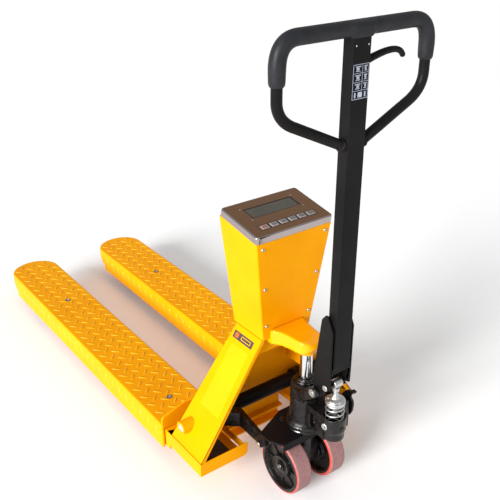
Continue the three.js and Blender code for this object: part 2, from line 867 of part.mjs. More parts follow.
function releaseLever() {
  const outline = [
    [-374, 290],
    [-378, 305],
    [-388, 319],
    [-398, 329],
    [-421, 337],
    [-424, 333],
    [-412, 320],
    [-411, 311],
    [-419, 303],
    [-421, 292],
    [-419, 272],
    [-412, 257],
    [-403, 249],
    [-393, 250],
    [-383, 264],
    [-376, 280],
  ];
  return cut(
    join(alongX(outline, 60.5, 66.5), box(58.5, 70, -424, -412, 331.5, 336)),
    rodX(50, 80, releaseAxis.y, releaseAxis.z, 4.4, 12),
  );
}
place('release_lever', releaseLever(), blackPaint);

// ---- handle -------------------------------------------------------------------------------------
const bracketHalf = 36;
const shaftBottom = 446;
const shaftTop = gripZ - loopRadius - 1;
function handleBracket() {
  const outline = [
    ...arc(handleAxis.y, handleAxis.z, 14, -100, 0, 5),
    [-371, 420],
    [-392, 575],
    [-404, 590],
    [-412, 590],
    [-431, 552],
    [-431, 418],
    [-430, 384],
    ...arc(rollerAxis.y, rollerAxis.z - 2, 13, -20, -90, 3),
  ].reverse();
  let body = join(
    alongX(outline, -bracketHalf, -bracketHalf + 6),
    alongX(outline, bracketHalf - 6, bracketHalf),
    alongX([[-430, 428], [-392, 428], [-392, shaftBottom - gap], [-430, shaftBottom - gap]],
      -bracketHalf + 1, bracketHalf - 1),
    box(-bracketHalf + 1, bracketHalf - 1, -402, -397, 430, 560),
    rodX(-bracketHalf - 4, bracketHalf + 4, rollerAxis.y, rollerAxis.z, 4.6, 12),
  );
  body = cut(body, rodX(-70, 70, handleAxis.y, handleAxis.z, 7.4, 16));
  return body;
}
place('handle_bracket', handleBracket(), blackPaint);
place('pump_roller', turnedX([
  [5, -13],
  [rollerRadius, -13],
  [rollerRadius, 13],
  [5, 13],
  [5, -13],
], rollerAxis.y, rollerAxis.z, 20), zinc);

const shaftX = 25;
const shaftFront = -403.5;
const shaftRear = -435;
const shaftWall = 2.5;
const leverAxis = { x: 12, z: 1186 };
function handleShaft() {
  return cut(
    solid(box(-shaftX, shaftX, shaftRear, shaftFront, shaftBottom, shaftTop)),
    box(-shaftX + shaftWall, shaftX - shaftWall, shaftRear + shaftWall, shaftFront - shaftWall,
      shaftBottom - 1, shaftTop + 1),
    box(shaftX - shaftWall - 1, shaftX + 1, shaftY - 6, shaftY + 6, 1160, 1222),
  );
}
place('handle_shaft', handleShaft(), blackPaint);

// The closed loop: from the shaft out to each side, up, and across the top.
const loopHalf = 207;
function loopPath() {
  const path = new THREE.CurvePath();
  const corner = (side) => ({
    inner: new THREE.Vector3(side * (shaftX + 12), shaftY, 1019),
    turnIn: new THREE.Vector3(side * 158, shaftY, 1077),
    low: new THREE.Vector3(side * loopHalf, shaftY, 1098),
    turnOut: new THREE.Vector3(side * loopHalf, shaftY, 1140),
    rise: new THREE.Vector3(side * loopHalf, shaftY, 1200),
    high: new THREE.Vector3(side * loopHalf, shaftY, gripZ),
    top: new THREE.Vector3(side * 157, shaftY, gripZ),
  });
  const left = corner(-1);
  const right = corner(1);
  path.add(new THREE.LineCurve3(left.inner, left.turnIn));
  path.add(new THREE.QuadraticBezierCurve3(left.turnIn, left.low, left.turnOut));
  path.add(new THREE.LineCurve3(left.turnOut, left.rise));
  path.add(new THREE.QuadraticBezierCurve3(left.rise, left.high, left.top));
  path.add(new THREE.LineCurve3(left.top, right.top));
  path.add(new THREE.QuadraticBezierCurve3(right.top, right.high, right.rise));
  path.add(new THREE.LineCurve3(right.rise, right.turnOut));
  path.add(new THREE.QuadraticBezierCurve3(right.turnOut, right.low, right.turnIn));
  path.add(new THREE.LineCurve3(right.turnIn, right.inner));
  return path;
}

function gripPath() {
  const path = new THREE.CurvePath();
  const at = (x, z) => new THREE.Vector3(x, shaftY, z);
  path.add(new THREE.LineCurve3(at(-loopHalf, 1165), at(-loopHalf, 1200)));
  path.add(new THREE.QuadraticBezierCurve3(at(-loopHalf, 1200), at(-loopHalf, gripZ), at(-157, gripZ)));
  path.add(new THREE.LineCurve3(at(-157, gripZ), at(157, gripZ)));
  path.add(new THREE.QuadraticBezierCurve3(at(157, gripZ), at(loopHalf, gripZ), at(loopHalf, 1200)));
  path.add(new THREE.LineCurve3(at(loopHalf, 1200), at(loopHalf, 1165)));
  return path;
}

const sweep = (radius, path, steps, sides) => new THREE.ExtrudeGeometry(
  new THREE.Shape(points(arc(0, 0, radius, 0, 360 - 360 / sides, sides - 1))),
  { steps, extrudePath: path, bevelEnabled: false },
);

const loopSteps = 40;
const stubEnd = shaftX + gap;
function handleLoop() {
  const tube = solid(sweep(loopRadius, loopPath(), loopSteps, 10));
  const stubs = [-1, 1].map((side) => box(
    Math.min(side * stubEnd, side * (shaftX + 20)), Math.max(side * stubEnd, side * (shaftX + 20)),
    shaftY - 9, shaftY + 9, 1008, 1030));
  return stubs.reduce((whole, stub) => whole.add(solid(stub)), tube);
}
place('handle_loop', handleLoop(), blackPaint);

function handleGrip() {
  const sleeve = solid(sweep(gripRadius, gripPath(), 28, 10));
  const shroud = alongX([
    [-440, 1238],
    [-400, 1238],
    [-400, gripZ],
    [-440, gripZ],
  ], -36, 36);
  return cut(
    sleeve.add(solid(shroud)),
    sweep(loopRadius + 0.4, loopPath(), loopSteps, 10),
    box(-shaftX - 0.5, shaftX + 0.5, shaftRear - 0.5, shaftFront + 0.5, 1200, shaftTop + 0.5),
  );
}
place('handle_grip', handleGrip(), gripRubber);

function controlLever() {
  const upper = [[8, 1196], [30, 1197], [62, 1204], [95, 1207], [120, 1203], [136, 1190], [141, 1180]];
  const lower = [[133, 1174], [127, 1181], [114, 1191], [92, 1195], [66, 1190], [34, 1178], [8, 1176]];
  return join(
    alongY([...upper, ...lower].reverse(), shaftY - 4.5, shaftY + 4.5),
    rodY(leverAxis.x, shaftY - 12, shaftY + 12, leverAxis.z, 4, 12),
  );
}
place('control_lever', controlLever(), blackPaint);

// ---- origin under the middle of the truck -------------------------------------------------------
const rearmost = plungerY - cupRadius;
truck.position.y = -(forkLength + rearmost) / 2;

const part = new THREE.Group();
part.add(truck);

export default part;
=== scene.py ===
import json
import math

import bmesh
import bpy
from mathutils import Matrix, Vector


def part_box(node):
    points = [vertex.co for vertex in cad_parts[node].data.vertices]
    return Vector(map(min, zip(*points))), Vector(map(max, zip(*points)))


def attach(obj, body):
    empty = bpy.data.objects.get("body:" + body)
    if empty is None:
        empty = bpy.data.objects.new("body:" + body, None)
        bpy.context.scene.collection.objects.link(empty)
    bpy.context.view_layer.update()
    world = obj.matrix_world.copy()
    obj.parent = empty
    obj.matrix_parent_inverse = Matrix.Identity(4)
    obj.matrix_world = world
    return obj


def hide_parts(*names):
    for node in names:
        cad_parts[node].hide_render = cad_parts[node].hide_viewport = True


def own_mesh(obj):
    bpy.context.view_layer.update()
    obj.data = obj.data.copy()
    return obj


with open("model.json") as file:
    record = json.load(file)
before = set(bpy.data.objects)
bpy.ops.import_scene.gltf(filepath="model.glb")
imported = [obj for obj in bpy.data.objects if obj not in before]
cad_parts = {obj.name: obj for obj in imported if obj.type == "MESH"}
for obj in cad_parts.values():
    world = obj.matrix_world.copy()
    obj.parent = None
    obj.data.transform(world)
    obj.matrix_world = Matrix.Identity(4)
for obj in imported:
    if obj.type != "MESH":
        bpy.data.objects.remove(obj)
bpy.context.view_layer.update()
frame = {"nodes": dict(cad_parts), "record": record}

# A pallet truck with a weighing scale. Points are in millimetres: X from the middle, Y forwards from the
# heel of the forks and Z up from the floor.
MM = 0.001
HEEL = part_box("weigh_platform_left")[0].y
SIDES = {"left": -1, "right": 1}
RECORD = frame["record"]
BODY_OF = {node: body for body, nodes in RECORD["behaviour"]["bodies"].items() for node in nodes}

FORK_CENTRE = 187
FORK_HALF = 88
FORK_LENGTH = 1190
NOSE_DEPTH = 78
DECK_TOP = 117
APRON_HALF = 106
TREAD_PITCH = 45
SCREW_Y = (98, 817)
ROCKER_AXIS = (-103, 170)
WHEEL_AXIS = (-304, 80)
WHEEL_RADIUS = 80
WHEEL_INNER = 35
WHEEL_OUTER = 84
HUB_RADIUS = 71
RAM_Y = -302
PLUNGER_Y = -418
SPRING_BOTTOM = 233.2
SPRING_TOP = 327.1
SPRING_RADIUS = 23
SPRING_WIRE = 2.3
SPRING_TURNS = 7
HANDLE_AXIS = (-385, 360)
ROLLER_AXIS = (-418, 388)
LEVER_AXIS = (12, -420, 1186)
SHAFT_Y = -420
SHAFT_REAR = -435
LOOP_HALF = 207
GRIP_Z = 1256
LOOP_RADIUS = 12
GRIP_RADIUS = 17.5
PANEL_REAR = (-244, 736)
PANEL_TILT = math.radians(9.85)
PANEL_TOP = 20
KEY_ROW = 34
KEY_PITCH = 29
GUSSET_FOOT = (275, 114.4)
GUSSET_HEAD = (79, 437.7)
COVER_FOOT = (-219.2, 438)
COVER_HEAD = (-243.2, 736)
COVER_NORMAL = (0, -0.9968, -0.08)
RELEASE_AXIS = (-388, 290)
PLATE_TOP = 186
SUN_STRENGTH = 5.6
SKY_STRENGTH = 0.48
REAR_FILL_WATTS = 12
FLOOR_GLOW = 0.1
CAMERA_PLACE = (-1.11391, -1.9282, 1.54329)
CAMERA_YAW = math.radians(-36.55)
CAMERA_PITCH = math.radians(90 - 26.405)
CAMERA_LENS = 55.56


# ---- places -------------------------------------------------------------------------------------
def spot(x, y, z):
    """A point of the truck, in metres in its own frame."""
    return Vector((x * MM, y * MM + HEEL, z * MM))


def facing(point, normal):
    """A place at a point, with its Z axis along the normal."""
    turn = Vector(normal).to_track_quat("Z", "Y").to_matrix().to_4x4()
    return Matrix.Translation(point) @ turn


def across(point):
    """A place at a point, with its Z axis along the truck's X axis."""
    return facing(point, (1, 0, 0))


def outwards(side, x, y, z):
    """A place on one side of the truck, with its Z axis away from the middle."""
    return facing(spot(side * x, y, z), (side, 0, 0))


def panel_place(x, y, z):
    """A place on the sloping indicator: y runs up its top from the rear edge, z is its height."""
    tilt = Matrix.Rotation(PANEL_TILT, 4, "X")
    rear = Matrix.Translation(spot(0, *PANEL_REAR))
    return rear @ tilt @ Matrix.Translation(Vector((x, y, z)) * MM)


def gusset_place(side, y, up, out=0.0):
    """A place on a gusset's outer face: X runs forwards, Y up the plate, and Z out of it."""
    inwards = GUSSET_HEAD[0] - GUSSET_FOOT[0]
    rise = Vector((inwards * side, 0, GUSSET_HEAD[1] - GUSSET_FOOT[1])).normalized()
    forwards = Vector((0, 1, 0)) * side
    normal = forwards.cross(rise)
    turn = Matrix((forwards, rise, normal)).transposed().to_4x4()
    foot = spot(side * GUSSET_FOOT[0], y, GUSSET_FOOT[1])
    return Matrix.Translation(foot + rise * up * MM + normal * out * MM) @ turn


# ---- shaping ------------------------------------------------------------------------------------
def turned(bm, profile, place, steps=64):
    """Spins a profile of (radius, height) pairs round a place's Z axis."""
    ring = [bm.verts.new(place @ (Vector((radius, 0, height)) * MM)) for radius, height in profile]
    edges = [bm.edges.new(pair) for pair in zip(ring, ring[1:])]
    axis = place.to_3x3() @ Vector((0, 0, 1))
    bmesh.ops.spin(bm, geom=ring + edges, cent=place.translation, axis=axis,
                   angle=math.tau, steps=steps, use_merge=True)
    bmesh.ops.remove_doubles(bm, verts=bm.verts, dist=2e-6)


def bevelled(bm, edges, width, segments=2):
    """Rounds edges by a width."""
    bmesh.ops.bevel(bm, geom=list(edges), offset=width * MM, offset_type="OFFSET", affect="EDGES",
                    segments=segments, profile=0.5, clamp_overlap=False, material=-1)


def block(bm, place, size, round_edge=0.6, segments=2):
    """A block with rounded edges, centred on a place."""
    size = Vector(size) * MM
    cube = bmesh.ops.create_cube(bm, size=1, matrix=place @ Matrix.Diagonal((*size, 1)))
    edges = {edge for vert in cube["verts"] for edge in vert.link_edges}
    bevelled(bm, edges, round_edge, segments)


def plate(bm, outline, place, thick, round_edge=0.0):
    """A flat plate of an outline in a place's X and Y, standing up along its Z."""
    face = bm.faces.new([bm.verts.new(place @ (Vector((x, y, 0)) * MM)) for x, y in outline])
    lifted = bmesh.ops.extrude_face_region(bm, geom=[face])["geom"]
    top = [item for item in lifted if isinstance(item, bmesh.types.BMVert)]
    lift = place.to_3x3() @ Vector((0, 0, thick * MM))
    bmesh.ops.translate(bm, verts=top, vec=lift)
    if round_edge:
        rim = {edge for vert in top for edge in vert.link_edges if edge.other_vert(vert) in top}
        bevelled(bm, rim, round_edge)


def rounded_outline(width, height, radius, steps=5):
    """The outline of a rectangle with round corners, about its middle."""
    outline = []
    for turn, (right, up) in enumerate([(1, -1), (1, 1), (-1, 1), (-1, -1)]):
        centre = (right * (width / 2 - radius), up * (height / 2 - radius))
        for step in range(steps + 1):
            angle = math.radians(-90 + 90 * turn + 90 * step / steps)
            outline.append((centre[0] + radius * math.cos(angle), centre[1] + radius * math.sin(angle)))
    return outline


def hexagon(bm, place, across_flats, height):
    """A bolt head with its top corners turned off."""
    radius = across_flats / math.sqrt(3) * MM
    middle = place @ Matrix.Translation((0, 0, height / 2 * MM))
    head = bmesh.ops.create_cone(bm, cap_ends=True, segments=6, radius1=radius, radius2=radius,
                                 depth=height * MM, matrix=middle)
    edges = {edge for vert in head["verts"] for edge in vert.link_edges}
    bevelled(bm, edges, 0.6)


def pan_head(bm, place, radius, height):
    """A domed screw head."""
    profile = [(radius, -0.4), (radius, height * 0.35), (radius * 0.86, height * 0.75),
               (radius * 0.55, height * 0.97), (0, height)]
    turned(bm, profile, place, steps=24)


def cross_slot(bm, place, length, height):
    """The two grooves of a cross-head screw, as thin blocks standing a hair over the head; a dark finish
    on them is painted shade.
    """
    for angle in (0, math.pi / 2):
        turn = place @ Matrix.Translation((0, 0, height * MM)) @ Matrix.Rotation(angle, 4, "Z")
        block(bm, turn, (length, length * 0.2, 0.3), 0.08, 1)


def steps_along(start, end, step):
    """Numbers from start up to end, a step apart."""
    return [start + step * i for i in range(int((end - start) / step) + 1)]


# ---- pieces -------------------------------------------------------------------------------------
def added(name, mesh, finish, body, crease=40):
    """Puts a finished mesh on its body, smooth but for its creases."""
    mesh.polygons.foreach_set("use_smooth", [True] * len(mesh.polygons))
    mesh.set_sharp_from_angle(angle=math.radians(crease))
    mesh.materials.clear()
    mesh.materials.append(finish)
    piece = bpy.data.objects.new(name, mesh)
    bpy.context.scene.collection.objects.link(piece)
    normals = piece.modifiers.new("flat_faces", "WEIGHTED_NORMAL")
    normals.keep_sharp = True
    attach(piece, body)
    return piece


def made(name, bm, finish, body, crease=40):
    """Closes a bmesh into a piece, with its faces turned outwards."""
    bmesh.ops.remove_doubles(bm, verts=bm.verts, dist=1e-6)
    bmesh.ops.recalc_face_normals(bm, faces=bm.faces)
    mesh = bpy.data.meshes.new(name)
    bm.to_mesh(mesh)
    bm.free()
    return added(name, mesh, finish, body, crease)


def merged_copy(node):
    """A CAD node's solid with its triangles merged back into flat faces."""
    bm = bmesh.new()
    bm.from_mesh(frame["nodes"][node].data)
    bmesh.ops.remove_doubles(bm, verts=bm.verts, dist=2e-5)
    bmesh.ops.dissolve_limit(bm, angle_limit=math.radians(1), verts=bm.verts, edges=bm.edges)
    return bm


def sharp_edges(bm, least=30, wanted=None):
    """Edges that fold by more than an angle, and whose middle is wanted."""
    found = []
    for edge in bm.edges:
        if edge.is_manifold and edge.calc_face_angle(0) > math.radians(least):
            middle = (edge.verts[0].co + edge.verts[1].co) / 2
            if wanted is None or wanted(middle):
                found.append(edge)
    return found


def formed(node, finish, width, wanted=None, segments=2):
    """A node's own shape with its edges rounded, standing for that node."""
    bm = merged_copy(node)
    bevelled(bm, sharp_edges(bm, wanted=wanted), width, segments)
    piece = made(node + "_formed", bm, finish, BODY_OF[node])
    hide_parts(node)
    return piece


def run_together(bm, voxel, rounds):
    """Runs overlapping solids into one and softens every edge, as a casting or a moulding has them."""
    mesh = bpy.data.meshes.new("rough")
    bmesh.ops.recalc_face_normals(bm, faces=bm.faces)
    bm.to_mesh(mesh)
    bm.free()
    rough = bpy.data.objects.new("rough", mesh)
    bpy.context.scene.collection.objects.link(rough)
    remesh = rough.modifiers.new("run_together", "REMESH")
    remesh.mode = "VOXEL"
    remesh.voxel_size = voxel * MM
    graph = bpy.context.evaluated_depsgraph_get()
    soft = bmesh.new()
    soft.from_mesh(rough.evaluated_get(graph).to_mesh())
    bpy.data.objects.remove(rough)
    for _ in range(rounds):
        bmesh.ops.smooth_vert(soft, verts=soft.verts, factor=0.5,
                              use_axis_x=True, use_axis_y=True, use_axis_z=True)
    return soft


def cast(node, finish, voxel, rounds):
    """A node's own shape with the soft edges of a casting, standing for that node."""
    bm = run_together(merged_copy(node), voxel, rounds)
    piece = made(node + "_cast", bm, finish, BODY_OF[node], crease=180)
    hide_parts(node)
    return piece


def spun(node, profile, place, finish, steps=72, crease=30):
    """A turned piece that stands for a node."""
    bm = bmesh.new()
    turned(bm, profile, place, steps)
    piece = made(node + "_turned", bm, finish, BODY_OF[node], crease)
    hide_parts(node)
    return piece


def tube_mesh(knots, corners, radii, resolution=14, roundness=7):
    """A bent tube through knots. A corner between two knots is where their straight runs would meet."""
    line = bpy.data.curves.new("tube", "CURVE")
    line.dimensions = "3D"
    line.resolution_u = resolution
    line.bevel_depth = max(radii) * MM
    line.bevel_resolution = roundness
    line.use_fill_caps = True
    spline = line.splines.new("BEZIER")
    spline.bezier_points.add(len(knots) - 1)
    for i, (knot, point) in enumerate(zip(knots, spline.bezier_points)):
        ahead = corners.get(i, knots[min(i + 1, len(knots) - 1)])
        behind = corners.get(i - 1, knots[max(i - 1, 0)])
        point.co = knot
        point.handle_right = knot.lerp(ahead, 2 / 3 if i in corners else 1 / 3)
        point.handle_left = knot.lerp(behind, 2 / 3 if i - 1 in corners else 1 / 3)
        point.radius = radii[i] / max(radii)
    return curve_mesh(line)


def curve_mesh(line):
    """The mesh of a curve, taken before the curve goes."""
    holder = bpy.data.objects.new("line", line)
    bpy.context.scene.collection.objects.link(holder)
    graph = bpy.context.evaluated_depsgraph_get()
    mesh = bpy.data.meshes.new_from_object(holder.evaluated_get(graph))
    bpy.data.objects.remove(holder)
    return mesh


def bead(bm, points, radius):
    """A weld bead of small overlapping lumps along a straight run."""
    first, last = points
    count = max(2, int((last - first).length / (radius * 0.9 * MM)))
    for i in range(count + 1):
        centre = first.lerp(last, i / count)
        place = Matrix.Translation(centre) @ Matrix.Scale(radius * MM, 4)
        bmesh.ops.create_icosphere(bm, subdivisions=1, radius=1, matrix=place)


# ---- finishes -----------------------------------------------------------------------------------
class Finish:
    """A material built up from the truck's own coordinates."""

    def __init__(self, name, colour, roughness, metallic=0.0, coat=0.0, gloss=0.5):
        self.material = bpy.data.materials.new(name)
        self.material.use_nodes = True
        self.tree = self.material.node_tree
        self.shader = self.tree.nodes["Principled BSDF"]
        self.place = self.node("ShaderNodeTexCoord").outputs["Object"]
        self.shader.inputs["Base Color"].default_value = (*colour, 1)
        self.shader.inputs["Roughness"].default_value = roughness
        self.shader.inputs["Metallic"].default_value = metallic
        self.shader.inputs["Specular IOR Level"].default_value = gloss
        self.shader.inputs["Coat Weight"].default_value = coat
        self.shader.inputs["Coat Roughness"].default_value = 0.12

    def node(self, kind, **settings):
        node = self.tree.nodes.new(kind)
        for key, value in settings.items():
            setattr(node, key, value)
        return node

    def link(self, source, target):
        self.tree.links.new(source, target)

    def noise(self, scale, detail=3.0, stretch=(1, 1, 1), turn=(0, 0, 0)):
        """A field of noise, with scale in lumps per metre."""
        mapping = self.node("ShaderNodeMapping")
        mapping.inputs["Scale"].default_value = stretch
        mapping.inputs["Rotation"].default_value = turn
        self.link(self.place, mapping.inputs["Vector"])
        noise = self.node("ShaderNodeTexNoise")
        noise.inputs["Scale"].default_value = scale
        noise.inputs["Detail"].default_value = detail
        self.link(mapping.outputs["Vector"], noise.inputs["Vector"])
        return noise.outputs["Fac"]

    def band(self, value, low, high, start=0.0, end=1.0):
        """The value's stretch from low to high, spread from start to end."""
        spread = self.node("ShaderNodeMapRange")
        for socket, number in zip(("From Min", "From Max", "To Min", "To Max"), (low, high, start, end)):
            spread.inputs[socket].default_value = number
        self.link(value, spread.inputs["Value"])
        return spread.outputs["Result"]

    def maths(self, operation, *values):
        """A sum on numbers or sockets, by the name of its operation."""
        node = self.node("ShaderNodeMath", operation=operation)
        for socket, value in zip(node.inputs, values):
            if isinstance(value, (int, float)):
                socket.default_value = value
            else:
                self.link(value, socket)
        return node.outputs["Value"]

    def edge_mask(self, radius, low=0.02, high=0.25):
        """How much a face turns within a radius in millimetres: 0 on flats, 1 on edges."""
        bevel = self.node("ShaderNodeBevel", samples=4)
        bevel.inputs["Radius"].default_value = radius * MM
        geometry = self.node("ShaderNodeNewGeometry")
        dot = self.node("ShaderNodeVectorMath", operation="DOT_PRODUCT")
        self.link(bevel.outputs["Normal"], dot.inputs[0])
        self.link(geometry.outputs["Normal"], dot.inputs[1])
        return self.band(self.maths("SUBTRACT", 1.0, dot.outputs["Value"]), low, high)

    def colour_between(self, mask, first, second):
        """A mask's way from one colour to another. Either may be a tuple or a socket."""
        mix = self.node("ShaderNodeMix", data_type="RGBA")
        self.link(mask, mix.inputs["Factor"])
        for socket, colour in zip((mix.inputs[6], mix.inputs[7]), (first, second)):
            if isinstance(colour, tuple):
                socket.default_value = (*colour, 1)
            else:
                self.link(colour, socket)
        return mix.outputs[2]

    def colour(self, source):
        self.link(source, self.shader.inputs["Base Color"])

    def roughness(self, source):
        self.link(source, self.shader.inputs["Roughness"])

    def bump(self, height, depth, strength=1.0):
        """Raises the surface by a height field, with its depth in millimetres."""
        bump = self.node("ShaderNodeBump")
        bump.inputs["Distance"].default_value = depth * MM
        bump.inputs["Strength"].default_value = strength
        self.link(height, bump.inputs["Height"])
        self.link(bump.outputs["Normal"], self.shader.inputs["Normal"])


def painted(name, tone, shade, edge, roughness, peel=0.05, gloss=0.3):
    """Powder coat over steel: a slight mottle, an orange-peel skin, and a lighter colour on the edges that
    is partly thinner paint and partly a painted highlight.
    """
    finish = Finish(name, tone, roughness, gloss=gloss)
    mottle = finish.colour_between(finish.band(finish.noise(7, 4), 0.35, 0.7), tone, shade)
    scuffs = finish.band(finish.noise(60, 6, (1, 1, 2.5)), 0.64, 0.76, 0, 0.5)
    scuffed = finish.colour_between(scuffs, mottle, shade)
    # The edge colour is partly thinner paint and partly a painted highlight on every edge.
    finish.colour(finish.colour_between(finish.edge_mask(1.6), scuffed, edge))
    finish.roughness(finish.band(finish.noise(25, 5), 0.3, 0.7, roughness - 0.05, roughness + 0.1))
    finish.bump(finish.noise(700, 2), peel)
    return finish.material


def casting_paint(name, tone, dust):
    """Gloss paint over a rough sand casting, with dust and oil in random patches."""
    finish = Finish(name, tone, 0.22, gloss=0.4)
    grime = finish.band(finish.noise(38, 8), 0.5, 0.72, 0, 0.7)
    finish.colour(finish.colour_between(grime, tone, dust))
    finish.roughness(finish.band(finish.noise(90, 5), 0.3, 0.7, 0.16, 0.5))
    grit = finish.band(finish.noise(600, 3), 0, 1, 0, 0.35)
    finish.bump(finish.maths("ADD", finish.noise(140, 6), grit), 0.55)
    return finish.material


def bare_metal(name, light, dark, roughness, stretch=(1, 1, 1), grain=260, depth=0.02):
    """Plated or machined steel with fine marks along one direction."""
    finish = Finish(name, light, roughness, metallic=1.0)
    marks = finish.noise(grain, 4, stretch)
    finish.colour(finish.colour_between(finish.band(marks, 0.3, 0.72), light, dark))
    patches = finish.noise(70, 5, stretch)
    finish.roughness(finish.band(patches, 0.3, 0.7, roughness - 0.06, roughness + 0.12))
    finish.bump(marks, depth)
    return finish.material


def case_steel(name, light, dark, wall):
    """Brushed stainless steel: faces that look up get a brown painted reflection, and its walls and its
    rounded rim are polished, with a pale painted highlight as their colour.
    """
    finish = Finish(name, light, 0.24, metallic=1.0)
    marks = finish.noise(700, 4, (0.06, 3, 3))
    brushed = finish.colour_between(finish.band(marks, 0.3, 0.72), light, dark)
    split = finish.node("ShaderNodeSeparateXYZ")
    finish.link(finish.node("ShaderNodeNewGeometry").outputs["Normal"], split.inputs["Vector"])
    # Which way a face points picks its colour: brown on faces that look up is a painted reflection, pale
    # on the walls and rim a painted highlight.
    painted_light_by_facing = finish.band(split.outputs["Z"], 0.82, 0.975)
    finish.colour(finish.colour_between(painted_light_by_facing, wall, brushed))
    finish.roughness(finish.band(painted_light_by_facing, 0, 1, 0.14, 0.27))
    finish.bump(marks, 0.015)
    return finish.material


def wheel_polyurethane(name, wall, tread, hub_centre, tread_from):
    """Red polyurethane, bright on its walls and rubbed grey where it rolls."""
    finish = Finish(name, wall, 0.42)
    split = finish.node("ShaderNodeSeparateXYZ")
    finish.link(finish.place, split.inputs["Vector"])
    back = finish.maths("SUBTRACT", split.outputs["Y"], hub_centre.y)
    rise = finish.maths("SUBTRACT", split.outputs["Z"], hub_centre.z)
    squares = (finish.maths("MULTIPLY", back, back), finish.maths("MULTIPLY", rise, rise))
    reach = finish.maths("SQRT", finish.maths("ADD", *squares))
    rolling = finish.band(reach, (tread_from - 0.8) * MM, tread_from * MM)
    streaks = finish.band(finish.noise(160, 6, (3.0, 0.6, 0.6)), 0.36, 0.7)
    worn = finish.colour_between(streaks, tread, tuple(0.62 * c for c in tread))
    finish.colour(finish.colour_between(rolling, wall, worn))
    finish.roughness(finish.band(rolling, 0, 1, 0.36, 0.62))
    finish.bump(finish.noise(330, 5), 0.12)
    return finish.material


def moulded(name, tone, shade, roughness, grain=900, depth=0.06, gloss=0.4):
    """Moulded rubber or plastic with a fine matt skin."""
    finish = Finish(name, tone, roughness, gloss=gloss)
    finish.colour(finish.colour_between(finish.band(finish.noise(30, 5), 0.35, 0.68), tone, shade))
    finish.roughness(finish.band(finish.noise(80, 4), 0.3, 0.7, roughness - 0.06, roughness + 0.08))
    finish.bump(finish.noise(grain, 3), depth)
    return finish.material


def circuit_laminate():
    """A green board with copper tracks under its lacquer."""
    finish = Finish("circuit_laminate", (0.01, 0.09, 0.03), 0.35, coat=0.4)
    tracks = finish.node("ShaderNodeTexBrick")
    for socket, value in (("Scale", 90), ("Mortar Size", 0.06)):
        tracks.inputs[socket].default_value = value
    finish.link(finish.place, tracks.inputs["Vector"])
    finish.colour(finish.colour_between(tracks.outputs["Fac"], (0.01, 0.09, 0.03), (0.05, 0.2, 0.07)))
    return finish.material


# The third colour of each paint is its edge colour: partly thinner paint, partly a painted highlight.
YELLOW = painted("yellow_powder_coat", (0.92, 0.375, 0.0006), (0.87, 0.33, 0.0004), (1.0, 0.58, 0.02),
                 roughness=0.3, gloss=0.04)
CAST_YELLOW = painted("glossy_yellow_casting", (0.94, 0.39, 0.0006), (0.9, 0.345, 0.0004),
                      (1.0, 0.56, 0.02), roughness=0.14, peel=0.3, gloss=0.35)
# The tread bars' paint is lighter than the deck's: a painted highlight on the raised bars.
TREAD = painted("tread_paint_painted_highlight", (0.95, 0.46, 0.006), (0.9, 0.39, 0.003), (1.0, 0.62, 0.05),
                roughness=0.2, gloss=0.3)
FILM = painted("clear_film", (0.94, 0.43, 0.0008), (0.9, 0.39, 0.0006), (1.0, 0.6, 0.02),
               roughness=0.16, peel=0.2, gloss=0.22)
BLACK = painted("black_powder_coat", (0.006, 0.0056, 0.0062), (0.01, 0.009, 0.009), (0.05, 0.042, 0.038),
                roughness=0.32, peel=0.04, gloss=0.08)
CASTING = casting_paint("black_casting_paint", (0.0045, 0.004, 0.004), (0.02, 0.0135, 0.011))
CHROME = bare_metal("hard_chrome", (0.86, 0.87, 0.9), (0.78, 0.8, 0.84),
                    roughness=0.1, stretch=(1, 1, 0.05), grain=500, depth=0.004)
ZINC = bare_metal("zinc_plate", (0.68, 0.69, 0.68), (0.47, 0.48, 0.47),
                  roughness=0.34, stretch=(1, 1, 3), grain=220, depth=0.05)
STEEL = bare_metal("machined_steel", (0.5, 0.5, 0.52), (0.33, 0.33, 0.35),
                   roughness=0.36, grain=300, depth=0.03)
DARK_STEEL = bare_metal("oiled_steel", (0.09, 0.085, 0.085), (0.05, 0.046, 0.045),
                        roughness=0.25, grain=300, depth=0.03)
# The case's brown colours are a painted reflection on its top, the pale one a painted highlight on its
# walls and rim.
STAINLESS = case_steel("brushed_stainless", (0.35, 0.19, 0.1), (0.24, 0.125, 0.065), (0.44, 0.385, 0.375))
GRIP = moulded("grip_rubber", (0.011, 0.0115, 0.014), (0.018, 0.0185, 0.022), 0.46, 700, 0.12, gloss=0.22)
BEZEL = moulded("display_bezel", (0.012, 0.012, 0.011), (0.02, 0.02, 0.018), 0.2)
LCD = moulded("display_glass", (0.06, 0.056, 0.042), (0.075, 0.07, 0.054), 0.12, 300, 0.005)
KEY_GREY = moulded("grey_key", (0.3, 0.28, 0.27), (0.36, 0.34, 0.33), 0.42, 1200, 0.02)
KEY_RED = moulded("red_key", (0.3, 0.115, 0.1), (0.36, 0.15, 0.13), 0.42, 1200, 0.02)
KEY_PAD = moulded("key_pad", (0.12, 0.11, 0.115), (0.15, 0.14, 0.145), 0.38, 1200, 0.02)
BATTERY = moulded("battery_case", (0.06, 0.065, 0.07), (0.08, 0.085, 0.09), 0.5)
# A dark sheet in each tray: painted shade where the shadowed floor shows through the open tray.
TRAY_SHADE = moulded("tray_painted_shade", (0.065, 0.056, 0.056), (0.085, 0.075, 0.073), 0.6)
LABEL = moulded("label_film", (0.05, 0.041, 0.036), (0.062, 0.052, 0.046), 0.4, 300, 0.01)
LABEL_ORANGE = moulded("label_orange", (0.8, 0.13, 0.02), (0.74, 0.11, 0.015), 0.4, 300, 0.01)
LABEL_PALE = moulded("label_pale", (0.42, 0.47, 0.56), (0.34, 0.38, 0.46), 0.45, 300, 0.01)
